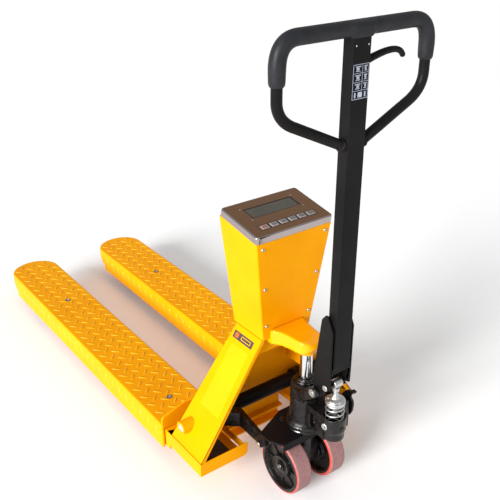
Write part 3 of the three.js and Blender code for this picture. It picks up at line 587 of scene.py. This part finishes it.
# A near-black finish that is painted shade in screw sockets, cross slots and countersinks.
RECESS_SHADE = moulded("painted_recess_shade", (0.02, 0.018, 0.016), (0.03, 0.026, 0.022), 0.6)
LAMINATE = circuit_laminate()
TYRE = wheel_polyurethane("steering_polyurethane", (0.6, 0.065, 0.042), (0.34, 0.17, 0.165),
                          spot(0, *WHEEL_AXIS), tread_from=78.6)


# ---- forks --------------------------------------------------------------------------------------
def on_deck_edge(middle):
    """The edges round the deck's top, and not those of its screw holes."""
    return middle.z > (DECK_TOP - 0.5) * MM and not near_deck_screw(middle)


def near_deck_screw(point):
    """Whether a point is by one of the screws down the middle of a fork."""
    screws = [spot(side * FORK_CENTRE, y, 0) for side in SIDES.values() for y in SCREW_Y]
    return any((point.xy - screw.xy).length < 17 * MM for screw in screws)


def platform_shell(side_name):
    """The folded tread plate that the load rests on."""
    node = f"weigh_platform_{side_name}"
    bm = merged_copy(node)
    bevelled(bm, sharp_edges(bm, wanted=on_deck_edge), 4.5, 4)
    bevelled(bm, sharp_edges(bm, least=50), 0.7)
    piece = made(node + "_formed", bm, YELLOW, BODY_OF[node])
    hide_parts(node)


def tread_bar(bm, centre, along, out):
    """One raised bar of the tread, lying along a direction on a face."""
    along = along.normalized()
    turn = Matrix((along, out.cross(along), out)).transposed().to_4x4()
    size = Matrix.Diagonal((15 * MM, 2.8 * MM, 1.6 * MM, 1))
    place = Matrix.Translation(centre) @ turn @ size
    bmesh.ops.create_uvsphere(bm, u_segments=12, v_segments=6, radius=1, matrix=place)


def inside_nose(x, y, margin):
    """Whether a point of the deck keeps a margin to its sides and its rounded nose."""
    if abs(x) > FORK_HALF - margin:
        return False
    ahead = y - (FORK_LENGTH - NOSE_DEPTH)
    return ahead < 0 or math.hypot(x / (FORK_HALF - margin), ahead / (NOSE_DEPTH - margin)) < 1


def tread_bars(side_name, side):
    """Bars in two directions, each kind on its own grid, and a row along each skirt."""
    bm = bmesh.new()
    up = Vector((0, 0, 1))
    kinds = (((1, -1, 0), -63, 5), ((1, 1, 0), -40.5, 27.5))
    for direction, first_x, first_y in kinds:
        for x in steps_along(first_x, FORK_HALF, TREAD_PITCH):
            for y in steps_along(first_y, FORK_LENGTH, TREAD_PITCH):
                centre = spot(side * FORK_CENTRE + x, y, DECK_TOP)
                if y > 12 and inside_nose(x, y, 15) and not near_deck_screw(centre):
                    tread_bar(bm, centre, Vector(direction), up)
    for face in (-1, 1):
        for y in steps_along(28, 1090, TREAD_PITCH):
            centre = spot(side * FORK_CENTRE + face * FORK_HALF, y, 80)
            tread_bar(bm, centre, Vector((0, 0.55, 1)), Vector((face, 0, 0)))
    # The bars' lighter paint is a painted highlight.
    made(f"tread_bars_{side_name}", bm, TREAD, "chassis", crease=60)


def platform_screws(side_name, side):
    """Socket screws that hold the platform to its load cells, each in a countersink, with dark discs in
    the sockets and dark rings round the heads as painted shade.
    """
    head = [(5, -2), (6.0, -1.2), (6.2, 0.4), (5.6, 1.2), (3.9, 1.2), (3.5, 0.4), (3.4, -1.6), (0, -1.8)]
    socket = [(3.3, -1.7), (3.3, -0.6), (0, -0.6)]
    rim = [(6.4, -1.2), (8.8, -1.2), (8.8, 1.35), (8.2, 1.6), (7.0, 1.6), (6.4, 0.6), (6.4, -1.2)]
    heads = bmesh.new()
    hollow_shade = bmesh.new()
    for y in SCREW_Y:
        place = facing(spot(side * FORK_CENTRE, y, DECK_TOP - 1.2), (0, 0, 1))
        turned(heads, head, place, 36)
        turned(hollow_shade, socket, place, 24)
        turned(hollow_shade, rim, place, 36)
    made(f"platform_screws_{side_name}", heads, ZINC, "chassis")
    # Dark discs in the sockets and dark rings in the countersinks: painted shade.
    made(f"screw_hollows_{side_name}", hollow_shade, RECESS_SHADE, "chassis")


def front_of_fork(side_name):
    """The load roller with its bush, the frame and rod that carry it, and the fork's channel and cells."""
    low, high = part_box(f"load_roller_{side_name}")
    middle = (low + high) / 2
    half = [(8.5, 39), (15, 39), (15.5, 36), (20, 36), (20.5, 39), (34.5, 39), (37, 37.8), (38, 35.5)]
    roller = [(radius, -height) for radius, height in half] + half[::-1] + [(8.5, -39)]
    tone = wheel_polyurethane(f"roller_polyurethane_{side_name}", (0.6, 0.08, 0.06), (0.3, 0.15, 0.14),
                              middle, tread_from=37)
    spun(f"load_roller_{side_name}", roller, across(middle), tone)
    formed(f"load_frame_{side_name}", BLACK, 1.0)
    formed(f"push_rod_{side_name}", BLACK, 1.0)
    formed(f"fork_channel_{side_name}", YELLOW, 1.2)
    formed(f"load_cell_rear_{side_name}", STEEL, 0.5)
    formed(f"load_cell_front_{side_name}", STEEL, 0.5)


# ---- frame behind the forks ---------------------------------------------------------------------
def heel_and_tray(side_name, side):
    """The plate across the fork's heel, and the tray behind it with a dark sheet in it that is painted
    shade.
    """
    formed(f"heel_plate_{side_name}", YELLOW, 2.4, segments=3)
    formed(f"side_tray_{side_name}", YELLOW, 1.7)
    bm = bmesh.new()
    # The dark sheet in the tray is painted shade, not a part.
    block(bm, Matrix.Translation(spot(side * 211, -131, 75.3)), (118, 138, 0.5), 0.1, 1)
    made(f"tray_painted_shade_{side_name}", bm, TRAY_SHADE, "chassis")


def gusset_plate(side_name, side):
    """The slanted side plate with its boss, the pin's end and its welds."""
    formed(f"gusset_{side_name}", YELLOW, 2.4, segments=3)
    pin = [(0, 192), (12.3, 192), (12.3, 269.4), (11.2, 270.5), (9.6, 270.5), (9.2, 269.8), (0, 269.8)]
    spun(f"rocker_pin_{side_name}", pin, outwards(side, 0, *ROCKER_AXIS), CHROME, 48)
    bm = bmesh.new()
    foot = [gusset_place(side, y, 1.5, 1.0).translation for y in (-204, -57)]
    bead(bm, foot, 2.4)
    made(f"gusset_weld_{side_name}", bm, YELLOW, "chassis", crease=180)


def gusset_label(side_name, side):
    """A dark label with plain marks, and the rest of a clear film below it."""
    parts = (("label", LABEL, -151, 84, 21, 0.25), ("label_mark", LABEL_ORANGE, -124, 14, 13, 0.5))
    for name, finish, y, width, height, thick in parts:
        bm = bmesh.new()
        plate(bm, rounded_outline(width, height, 2), gusset_place(side, y, 350), thick)
        made(f"{name}_{side_name}", bm, finish, "chassis")
    lines = ((-163, 354.5, 40, 1.6), (-163, 346, 40, 1.6),
             (-143.8, 350.2, 1.6, 10), (-182.2, 350.2, 1.6, 10))
    bm = bmesh.new()
    for y, up, width, height in lines:
        block(bm, gusset_place(side, y, up, 0.3), (width, height, 0.5), 0.1, 1)
    made(f"label_lines_{side_name}", bm, YELLOW, "chassis")
    bm = bmesh.new()
    sheet = gusset_place(side, -146, 228)
    outline = [(-40, -95), (44, -95), (44, 97), (-28, 97)]
    plate(bm, [(-side * x, y) for x, y in outline][::-side], sheet, 0.22, 0.15)
    made(f"gusset_film_{side_name}", bm, FILM, "chassis")


def cross_structure():
    """The cross member under the column, with its ribs and the apron below it."""
    formed("cross_member", YELLOW, 1.6)
    bm = bmesh.new()
    for side in SIDES.values():
        block(bm, Matrix.Translation(spot(side * 108, -122, 318)), (4, 66, 132), 0.8)
    made("cross_ribs", bm, YELLOW, "chassis")
    bm = bmesh.new()
    block(bm, Matrix.Translation(spot(0, -52, 45)), (2 * APRON_HALF, 6, 44), 1)
    block(bm, Matrix.Translation(spot(0, -64, 26)), (2 * APRON_HALF, 30, 6), 1)
    made("cross_apron", bm, YELLOW, "chassis")


def head_over_ram():
    """The casting that the ram lifts, and the screw in its collar."""
    cast("head_casting", CAST_YELLOW, 2.0, 18)
    bm = bmesh.new()
    place = facing(spot(20.5, RAM_Y - 15.5, 431), (0.8, -0.6, 0))
    turned(bm, [(5.5, -4), (5.5, 4.4), (4.9, 5), (2.6, 5), (2.4, 2.5), (0, 2.5)], place, 24)
    made("collar_screw", bm, BLACK, "chassis")


# ---- column and indicator -----------------------------------------------------------------------
def cover_y(z):
    """How far back the rear cover's face is at a height: it leans back as it rises."""
    share = (z - COVER_FOOT[1]) / (COVER_HEAD[1] - COVER_FOOT[1])
    return COVER_FOOT[0] + (COVER_HEAD[0] - COVER_FOOT[0]) * share


def column():
    """The tapered column, with the screws of its rear cover and the battery inside."""
    formed("column_shell", YELLOW, 2.2, segments=3)
    formed("column_cover", YELLOW, 0.9)
    formed("battery", BATTERY, 3)
    heads = bmesh.new()
    slots = bmesh.new()
    for half, z in ((99, 717), (84, 598), (70.5, 482)):
        for side in SIDES.values():
            place = facing(spot(side * half, cover_y(z), z), COVER_NORMAL)
            pan_head(heads, place, 4.6, 2.6)
            cross_slot(slots, place, 4.4, 2.45)
    made("cover_screws", heads, ZINC, "chassis")
    # The dark cross grooves are painted shade in the screws' recesses.
    made("cover_screw_slots", slots, RECESS_SHADE, "chassis")


def indicator():
    """The stainless case with its window, and the frame round its keys."""
    formed("indicator_case", STAINLESS, 5, wanted=on_case_rim, segments=5)
    formed("display_window", BEZEL, 0.5)
    frame["nodes"]["circuit_board"].material_slots[0].material = LAMINATE
    bm = bmesh.new()
    plate(bm, rounded_outline(143, 38, 1.5), panel_place(0, 100, 19.02), 0.25, 0.1)
    made("display_face", bm, LCD, "chassis")
    lines = ((0, 22.6, 182, 1.1), (0, 45.4, 182, 1.1), (-91, 34, 1.1, 23), (91, 34, 1.1, 23))
    bm = bmesh.new()
    for x, y, width, height in lines:
        block(bm, panel_place(x, y, PANEL_TOP), (width, height, 0.5), 0.2, 1)
    for i in range(5):
        block(bm, panel_place((i - 2) * KEY_PITCH, KEY_ROW, PANEL_TOP), (6.0, 15.6, 0.3), 0.1, 1)
    made("key_frame", bm, BEZEL, "chassis")
    bm = bmesh.new()
    for x in (-81, 81):
        for y in (73, 127):
            pan_head(bm, panel_place(x, y, PANEL_TOP), 1.9, 0.7)
    made("panel_screws", bm, ZINC, "chassis")


def on_case_rim(middle):
    """The outer edges of the case's top, and not its cut-outs."""
    local = panel_place(0, 0, 0).inverted() @ middle / MM
    return local.z > PANEL_TOP - 1 and (abs(local.x) > 110 or not 8 < local.y < 148)


def keys():
    """Six keys with darker pads, the first one red."""
    for i in range(6):
        name = f"key_{i + 1}"
        formed(name, KEY_GREY, 0.8)
        bm = bmesh.new()
        x = (i - 2.5) * KEY_PITCH
        plate(bm, rounded_outline(16, 10.5, 1.2), panel_place(x, KEY_ROW, 21.15), 0.2, 0.08)
        finish = KEY_RED if i == 0 else KEY_PAD
        made(f"{name}_pad", bm, finish, name)


# ---- lift linkage and pump ----------------------------------------------------------------------
def linkage():
    """The torsion tube and its arms, and the plate they pull on with its bearing."""
    formed("torsion_tube", BLACK, 1.0)
    for side_name in SIDES:
        cast(f"rocker_arm_{side_name}", CASTING, 1.8, 5)
    formed("thrust_plate", BLACK, 1.3)
    ring = [(36, 186.3), (49, 186.3), (50, 187.2), (50, 189.3), (48.6, 190), (48.6, 191), (49.4, 191.6),
            (48.2, 194), (36, 194), (36, 186.3)]
    spun("thrust_bearing", ring, facing(spot(0, RAM_Y, 0), (0, 0, 1)), DARK_STEEL)
    bm = bmesh.new()
    for side in SIDES.values():
        bolt = facing(spot(side * 37, -255, PLATE_TOP), (0, 0, 1))
        turned(bm, [(0, 0), (9, 0), (9, 1.2), (8.4, 1.6), (0, 1.6)], bolt, 32)
        hexagon(bm, bolt, 13, 8)
    made("thrust_bolts", bm, CASTING, "thrust_plate")
    bm = bmesh.new()
    for side in SIDES.values():
        end = outwards(side, 127, -262, 150)
        turned(bm, [(7.9, -1), (7.9, 0.2), (7.2, 1.0), (2.4, 1.0), (2, 0.4), (0, 0.4)], end, 32)
    made("ear_pin_ends", bm, ZINC, "thrust_plate")


def ram_and_gland():
    """The chromed ram and the ring that seals it."""
    upright = facing(spot(0, RAM_Y, 0), (0, 0, 1))
    ram = [(0, 212), (16.5, 212), (16.5, 433), (15.4, 436.5), (12, 440), (6, 442.4), (0, 443)]
    gland = [(17.2, 332), (31, 332), (31, 336.6), (30.2, 338), (26.2, 339), (25, 343), (19, 343),
             (17.2, 341.5), (17.2, 332)]
    spun("ram", ram, upright, CHROME)
    spun("gland_ring", gland, upright, DARK_STEEL)


def pump():
    """The pump's casting, with its plugs, nuts and pins."""
    cast("pump_body", CASTING, 2.0, 4)
    plugs = (((-34, -340, 300), (-0.8, -0.6, 0), 14, 7),
             ((0, RAM_Y - 44, 326), (0, -0.3, 1), 12, 6),
             ((42, -411, 262), (0, -1, 0), 16, 7),
             ((57, -372, 246), (1, 0, 0), 18, 6),
             ((0, PLUNGER_Y - 31, 262), (0, -1, 0), 13, 3))
    bm = bmesh.new()
    for place, normal, across_flats, height in plugs:
        hexagon(bm, facing(spot(*place), normal), across_flats, height)
    made("pump_plugs", bm, CASTING, "pump")
    cup_plug = [(9.5, -3), (9.5, 3), (8, 4.2), (4, 4.2), (3.6, 2.4), (0, 2.4)]
    bm = bmesh.new()
    turned(bm, cup_plug, facing(spot(-29, PLUNGER_Y + 2, 264), (-1, -0.25, 0)), 40)
    made("cup_plug", bm, ZINC, "pump")
    formed("steer_axle", STEEL, 1.4)
    formed("handle_pin", ZINC, 1.2)
    clip = [(7.4, -0.6), (10.4, -0.6), (10.8, 0), (10.4, 0.6), (7.4, 0.6), (7.4, -0.6)]
    bm = bmesh.new()
    for side in SIDES.values():
        turned(bm, clip, outwards(side, 52, *HANDLE_AXIS), 36)
    made("pin_clips", bm, ZINC, "pump")


def plunger():
    """The plunger, with a wide cap that holds its spring and a neck up to its pad."""
    profile = [(0, 290), (8, 290), (8, 330), (25.5, 330), (26.5, 331), (26.5, 335.8), (25.6, 337.2),
               (23.4, 338.2), (21.6, 341), (18, 343.4), (13.4, 345.4), (12.4, 348), (10.4, 350.4),
               (8.4, 352.6), (7.2, 354.6), (6.8, 358), (7, 362), (9, 365.5), (9.5, 369), (9.5, 374.6),
               (8.6, 375.5), (0, 375.5)]
    spun("plunger", profile, facing(spot(0, PLUNGER_Y, 0), (0, 0, 1)), ZINC)


def return_spring():
    """A coil spring with closed ends, pressed down by the plunger."""
    line = bpy.data.curves.new("coil", "CURVE")
    line.dimensions = "3D"
    line.bevel_depth = SPRING_WIRE * MM
    line.bevel_resolution = 3
    line.use_fill_caps = True
    count = SPRING_TURNS * 28
    spline = line.splines.new("POLY")
    spline.points.add(count)
    length = SPRING_TOP - SPRING_BOTTOM
    for i, point in enumerate(spline.points):
        share = i / count
        rise = min(max((share * SPRING_TURNS - 0.7) / (SPRING_TURNS - 1.4), 0), 1)
        angle = math.tau * SPRING_TURNS * share
        height = SPRING_BOTTOM + length * (0.06 * share + 0.94 * rise)
        across_x, across_y = SPRING_RADIUS * math.cos(angle), SPRING_RADIUS * math.sin(angle)
        point.co = (*spot(across_x, PLUNGER_Y + across_y, height), 1)
    spring = added("return_spring_coil", curve_mesh(line), ZINC, "pump")
    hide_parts("return_spring")
    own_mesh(spring)


# ---- steering wheels ----------------------------------------------------------------------------
def wheel_hub(side_name, place):
    """A hub with eight ribs in its face and a lip over the edge of its tyre."""
    inner, outer = WHEEL_INNER + 1, WHEEL_OUTER
    rim, web = outer - 2.6, outer - 14
    hub = [(13, inner), (22, inner), (24, inner + 3), (34, inner + 3), (38, inner + 10), (60, inner + 10),
           (65, inner), (HUB_RADIUS, inner), (HUB_RADIUS, rim - 1.2), (HUB_RADIUS - 1.2, rim), (65.5, rim),
           (63.8, rim - 1.6), (60.5, web), (34, web), (31.5, rim - 1.4), (30, rim), (26.5, rim),
           (26, rim - 1.4), (21.5, rim - 1.4), (21, rim), (13, rim), (13, inner)]
    lip = [(66, rim - 1), (66, outer + 0.1), (67, outer + 0.5), (74, outer + 0.5), (74.7, outer),
           (74.7, outer - 0.6), (66, rim - 1)]
    bm = bmesh.new()
    turned(bm, hub, place, 96)
    for i in range(8):
        turn = Matrix.Rotation(math.tau * i / 8, 4, "Z")
        rib = place @ turn @ Matrix.Translation(Vector((47, 0, web + 1)) * MM)
        block(bm, rib, (30, 4.5, 7), 1.2)
    turned(bm, lip, place, 96)
    node = f"wheel_hub_{side_name}"
    piece = made(node + "_turned", bm, CASTING, BODY_OF[node], crease=35)
    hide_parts(node)


def wheel_tyre(side_name, place):
    """The tyre, round at its shoulders and stepped where the hub's lip lies."""
    inner, outer, foot = WHEEL_INNER, WHEEL_OUTER, HUB_RADIUS + 0.4
    shoulder = [(WHEEL_RADIUS - 4.2, 0), (WHEEL_RADIUS - 1.8, 1.1), (WHEEL_RADIUS - 0.4, 3),
                (WHEEL_RADIUS, 5.5)]
    profile = [(foot, inner)]
    profile += [(radius, inner + depth) for radius, depth in shoulder]
    profile += [(radius, outer - depth) for radius, depth in reversed(shoulder)]
    profile += [(73, outer), (72, outer - 0.8), (foot, outer - 0.8), (foot, inner)]
    spun(f"wheel_tyre_{side_name}", profile, place, TYRE, 120)


def wheel_bearing(side_name, place):
    """The shielded bearing in the hub's outer face."""
    back, face, shield = WHEEL_OUTER - 4.8, WHEEL_OUTER - 3.4, WHEEL_OUTER - 4.1
    profile = [(13.2, back), (23.4, back), (23.4, face - 0.2), (20.6, face), (20, shield), (16.6, shield),
               (16, face), (13.2, face), (13.2, back)]
    bm = bmesh.new()
    turned(bm, profile, place, 64)
    made(f"wheel_bearing_{side_name}", bm, DARK_STEEL, BODY_OF[f"wheel_hub_{side_name}"])


def steering_wheel(side_name, side):
    """One of the two wheels under the pump."""
    place = outwards(side, 0, *WHEEL_AXIS)
    wheel_hub(side_name, place)
    wheel_tyre(side_name, place)
    wheel_bearing(side_name, place)


def axle_clips():
    """The washers and caps on the ends of the steering axle."""
    bm = bmesh.new()
    for side in SIDES.values():
        place = outwards(side, WHEEL_OUTER + 0.2, *WHEEL_AXIS)
        turned(bm, [(11, 0), (16.6, 0), (17, 0.6), (16.6, 1.2), (11, 1.2), (11, 0)], place, 48)
        turned(bm, [(12.2, 1), (12.2, 3.2), (11.2, 4.2), (4, 4.2), (3, 2.6), (0, 2.6)], place, 48)
    made("axle_clips", bm, DARK_STEEL, "pump")


# ---- handle -------------------------------------------------------------------------------------
def both_ways(half):
    """Points of half the loop in X and Z, taken up its left side and back down its right."""
    left = [spot(-x, SHAFT_Y, z) for x, z in half]
    return left + [spot(x, SHAFT_Y, z) for x, z in reversed(half)]


def loop_knots():
    """The loop's knots in X and Z from the left of the shaft round to the right, and its corners."""
    knots = both_ways([(37, 1019), (158, 1077), (LOOP_HALF, 1140), (LOOP_HALF, 1200), (157, GRIP_Z)])
    low, high = (LOOP_HALF, 1098), (LOOP_HALF, GRIP_Z)
    corners = {1: spot(-low[0], SHAFT_Y, low[1]), 3: spot(-high[0], SHAFT_Y, high[1]),
               5: spot(high[0], SHAFT_Y, high[1]), 7: spot(low[0], SHAFT_Y, low[1])}
    return knots, corners


def handle_frame():
    """The shaft, its bracket and the bent loop, with the welds and the fixings."""
    formed("handle_shaft", BLACK, 2.6, segments=3)
    formed("handle_bracket", BLACK, 1.8)
    knots, corners = loop_knots()
    tube = tube_mesh(knots, corners, [LOOP_RADIUS] * len(knots))
    loop = added("handle_loop_bent", tube, BLACK, "handle")
    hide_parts("handle_loop")
    bm = bmesh.new()
    for side in SIDES.values():
        end = facing(spot(side * 25, SHAFT_Y, 1013), Vector((side * 0.9, 0, 0.43)))
        turned(bm, [(11.5, 2), (14.4, 3), (14.8, 6), (13.0, 9.5), (11.5, 10), (11.5, 2)], end, 40)
        block(bm, Matrix.Translation(spot(side * 31, SHAFT_Y, 1016)), (14, 22, 23), 4, 3)
    made("loop_welds", bm, BLACK, "handle")
    bm = bmesh.new()
    for side in SIDES.values():
        pan_head(bm, facing(spot(side * 17, SHAFT_REAR, 1224), (0, -1, 0)), 2.0, 0.8)
        end = [(4.6, -4), (7.6, -3.4), (8, -2.6), (8, -0.8), (7.2, 0), (0, 0.2)]
        turned(bm, end, outwards(side, 40, *ROLLER_AXIS), 36)
    made("handle_fixings", bm, ZINC, "handle")


def grip():
    """The thick rubber sleeve, run together with the shroud over the end of the shaft."""
    knots = both_ways([(LOOP_HALF, 1166), (LOOP_HALF, 1172), (LOOP_HALF, 1200), (157, GRIP_Z)])
    corners = {2: spot(-LOOP_HALF, SHAFT_Y, GRIP_Z), 4: spot(LOOP_HALF, SHAFT_Y, GRIP_Z)}
    swell = [-3, -0.3, 0.6, 0]
    radii = [GRIP_RADIUS + change for change in swell + swell[::-1]]
    sleeve = tube_mesh(knots, corners, radii)
    bm = bmesh.new()
    bm.from_mesh(sleeve)
    block(bm, Matrix.Translation(spot(0, SHAFT_Y - 0.2, 1252)), (60, 38, 28), 4, 3)
    block(bm, Matrix.Translation(spot(0, SHAFT_Y - 0.2, 1256)), (84, 35, 30), 9, 3)
    soft = run_together(bm, 2.4, 7)
    piece = made("handle_grip_moulded", soft, GRIP, "handle", crease=180)
    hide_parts("handle_grip")


def handle_decal():
    """Rows of plain marks in a ruled frame on the rear of the shaft."""
    bm = bmesh.new()
    marks = [(0, 1186, 43, 1.1), (0, 1114.6, 43, 1.1), (-21.5, 1150.3, 1.1, 72), (21.5, 1150.3, 1.1, 72),
             (4, 1159, 1.0, 54), (0, 1168, 43, 0.9), (0, 1150, 43, 0.9), (0, 1132, 43, 0.9)]
    for row in range(3):
        z = 1177 - 18 * row
        for x, width in ((-8, 15), (13, 9)):
            marks.append((x, z + 4.6, width, 2.2))
            marks.append((x + row - 1, z, width * 0.5, 5.5))
            marks.append((x, z - 4.6, width * 0.8, 1.8))
    for x, width in ((-14, 4), (0, 12), (14, 4)):
        marks.append((x, 1123.2, width, 11))
    for x, z, width, height in marks:
        block(bm, facing(spot(x, SHAFT_REAR, z), (0, -1, 0)), (width, height, 0.3), 0.05, 1)
    made("handle_decal", bm, LABEL_PALE, "handle")


def bent(start, first, second, end, steps=18):
    """Points along a smooth bend that starts towards one point and ends away from another."""
    points = []
    for i in range(steps + 1):
        t = i / steps
        shares = ((1 - t) ** 3, 3 * t * (1 - t) ** 2, 3 * t ** 2 * (1 - t), t ** 3)
        pulls = [point * share for point, share in zip((start, first, second, end), shares)]
        points.append(sum(pulls, Vector()))
    return points


def control_lever():
    """The finger lever beside the shaft, bent down at its tip."""
    knots = bent(*(spot(x, SHAFT_Y, z) for x, z in ((14, 1183), (60, 1197), (120, 1213), (134, 1186))))
    radii = [8.6 - 2.2 * i / (len(knots) - 1) for i in range(len(knots))]
    bm = bmesh.new()
    bm.from_mesh(tube_mesh(knots, {}, radii, 3))
    for centre, radius in ((knots[0], radii[0]), (knots[-1], radii[-1])):
        place = Matrix.Translation(centre)
        bmesh.ops.create_icosphere(bm, subdivisions=3, radius=radius * MM, matrix=place)
    bmesh.ops.create_cone(bm, cap_ends=True, segments=24, radius1=4 * MM, radius2=4 * MM, depth=24 * MM,
                          matrix=facing(spot(*LEVER_AXIS), (0, 1, 0)))
    soft = run_together(bm, 1.2, 3)
    piece = made("control_lever_bent", soft, BLACK, "control_lever", crease=180)
    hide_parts("control_lever")


def release_lever():
    """A stout cast lever whose turned-up tip is pulled to lower the forks, and the nut on its pivot."""
    formed("release_lever", CASTING, 1.6)
    bm = bmesh.new()
    hexagon(bm, across(spot(66.4, *RELEASE_AXIS)), 13, 3.4)
    made("release_nut", bm, ZINC, "release_lever")


def pump_roller():
    """The roller that the handle presses on the plunger with."""
    roller = [(5, -13), (11, -13), (12, -12), (12, 12), (11, 13), (5, 13), (5, -13)]
    spun("pump_roller", roller, across(spot(0, *ROLLER_AXIS)), ZINC, 48)


# ---- studio -------------------------------------------------------------------------------------
def floor_and_light():
    """A pale floor, a pale sky, a soft sun on the left and a weak fill from behind."""
    bpy.ops.mesh.primitive_plane_add(size=300, location=(0, 0, 0))
    floor = bpy.context.object
    floor.name = "studio_floor"
    finish = Finish("floor_white", (0.93, 0.93, 0.93), 0.9)
    finish.shader.inputs["Emission Color"].default_value = (1, 1, 1, 1)
    finish.shader.inputs["Emission Strength"].default_value = FLOOR_GLOW
    floor.data.materials.append(finish.material)
    world = bpy.data.worlds.new("studio")
    world.use_nodes = True
    sky = world.node_tree.nodes["Background"]
    sky.inputs["Color"].default_value = (1, 1, 1, 1)
    sky.inputs["Strength"].default_value = SKY_STRENGTH
    bpy.context.scene.world = world
    light("sun_key", "SUN", (-3.9, -0.9, 1.7), SUN_STRENGTH).angle = math.radians(26)
    light("rear_fill", "AREA", (0.5, -3.8, 2.2), REAR_FILL_WATTS).size = 1.8


def light(name, kind, place, power):
    """A light that shines from a place to the middle of the truck."""
    lamp = bpy.data.lights.new(name, kind)
    lamp.energy = power
    holder = bpy.data.objects.new(name, lamp)
    bpy.context.scene.collection.objects.link(holder)
    holder.matrix_world = facing(Vector(place), Vector(place) - Vector((0, 0, 0.5)))
    return lamp


def camera():
    """The camera stands behind the truck on its left, above the grip."""
    lens = bpy.data.cameras.new("camera")
    lens.lens = CAMERA_LENS
    lens.sensor_width = 36
    holder = bpy.data.objects.new("camera", lens)
    turn = Matrix.Rotation(CAMERA_YAW, 4, "Z") @ Matrix.Rotation(CAMERA_PITCH, 4, "X")
    holder.matrix_world = Matrix.Translation(CAMERA_PLACE) @ turn
    bpy.context.scene.collection.objects.link(holder)
    bpy.context.scene.camera = holder


camera()
floor_and_light()
for name, sign in SIDES.items():
    platform_shell(name)
    tread_bars(name, sign)
    platform_screws(name, sign)
    front_of_fork(name)
    heel_and_tray(name, sign)
    gusset_plate(name, sign)
    gusset_label(name, sign)
    steering_wheel(name, sign)
cross_structure()
head_over_ram()
column()
indicator()
keys()
linkage()
ram_and_gland()
pump()
plunger()
return_spring()
axle_clips()
handle_frame()
grip()
handle_decal()
control_lever()
release_lever()
pump_roller()
bpy.context.scene.view_settings.view_transform = "Standard"
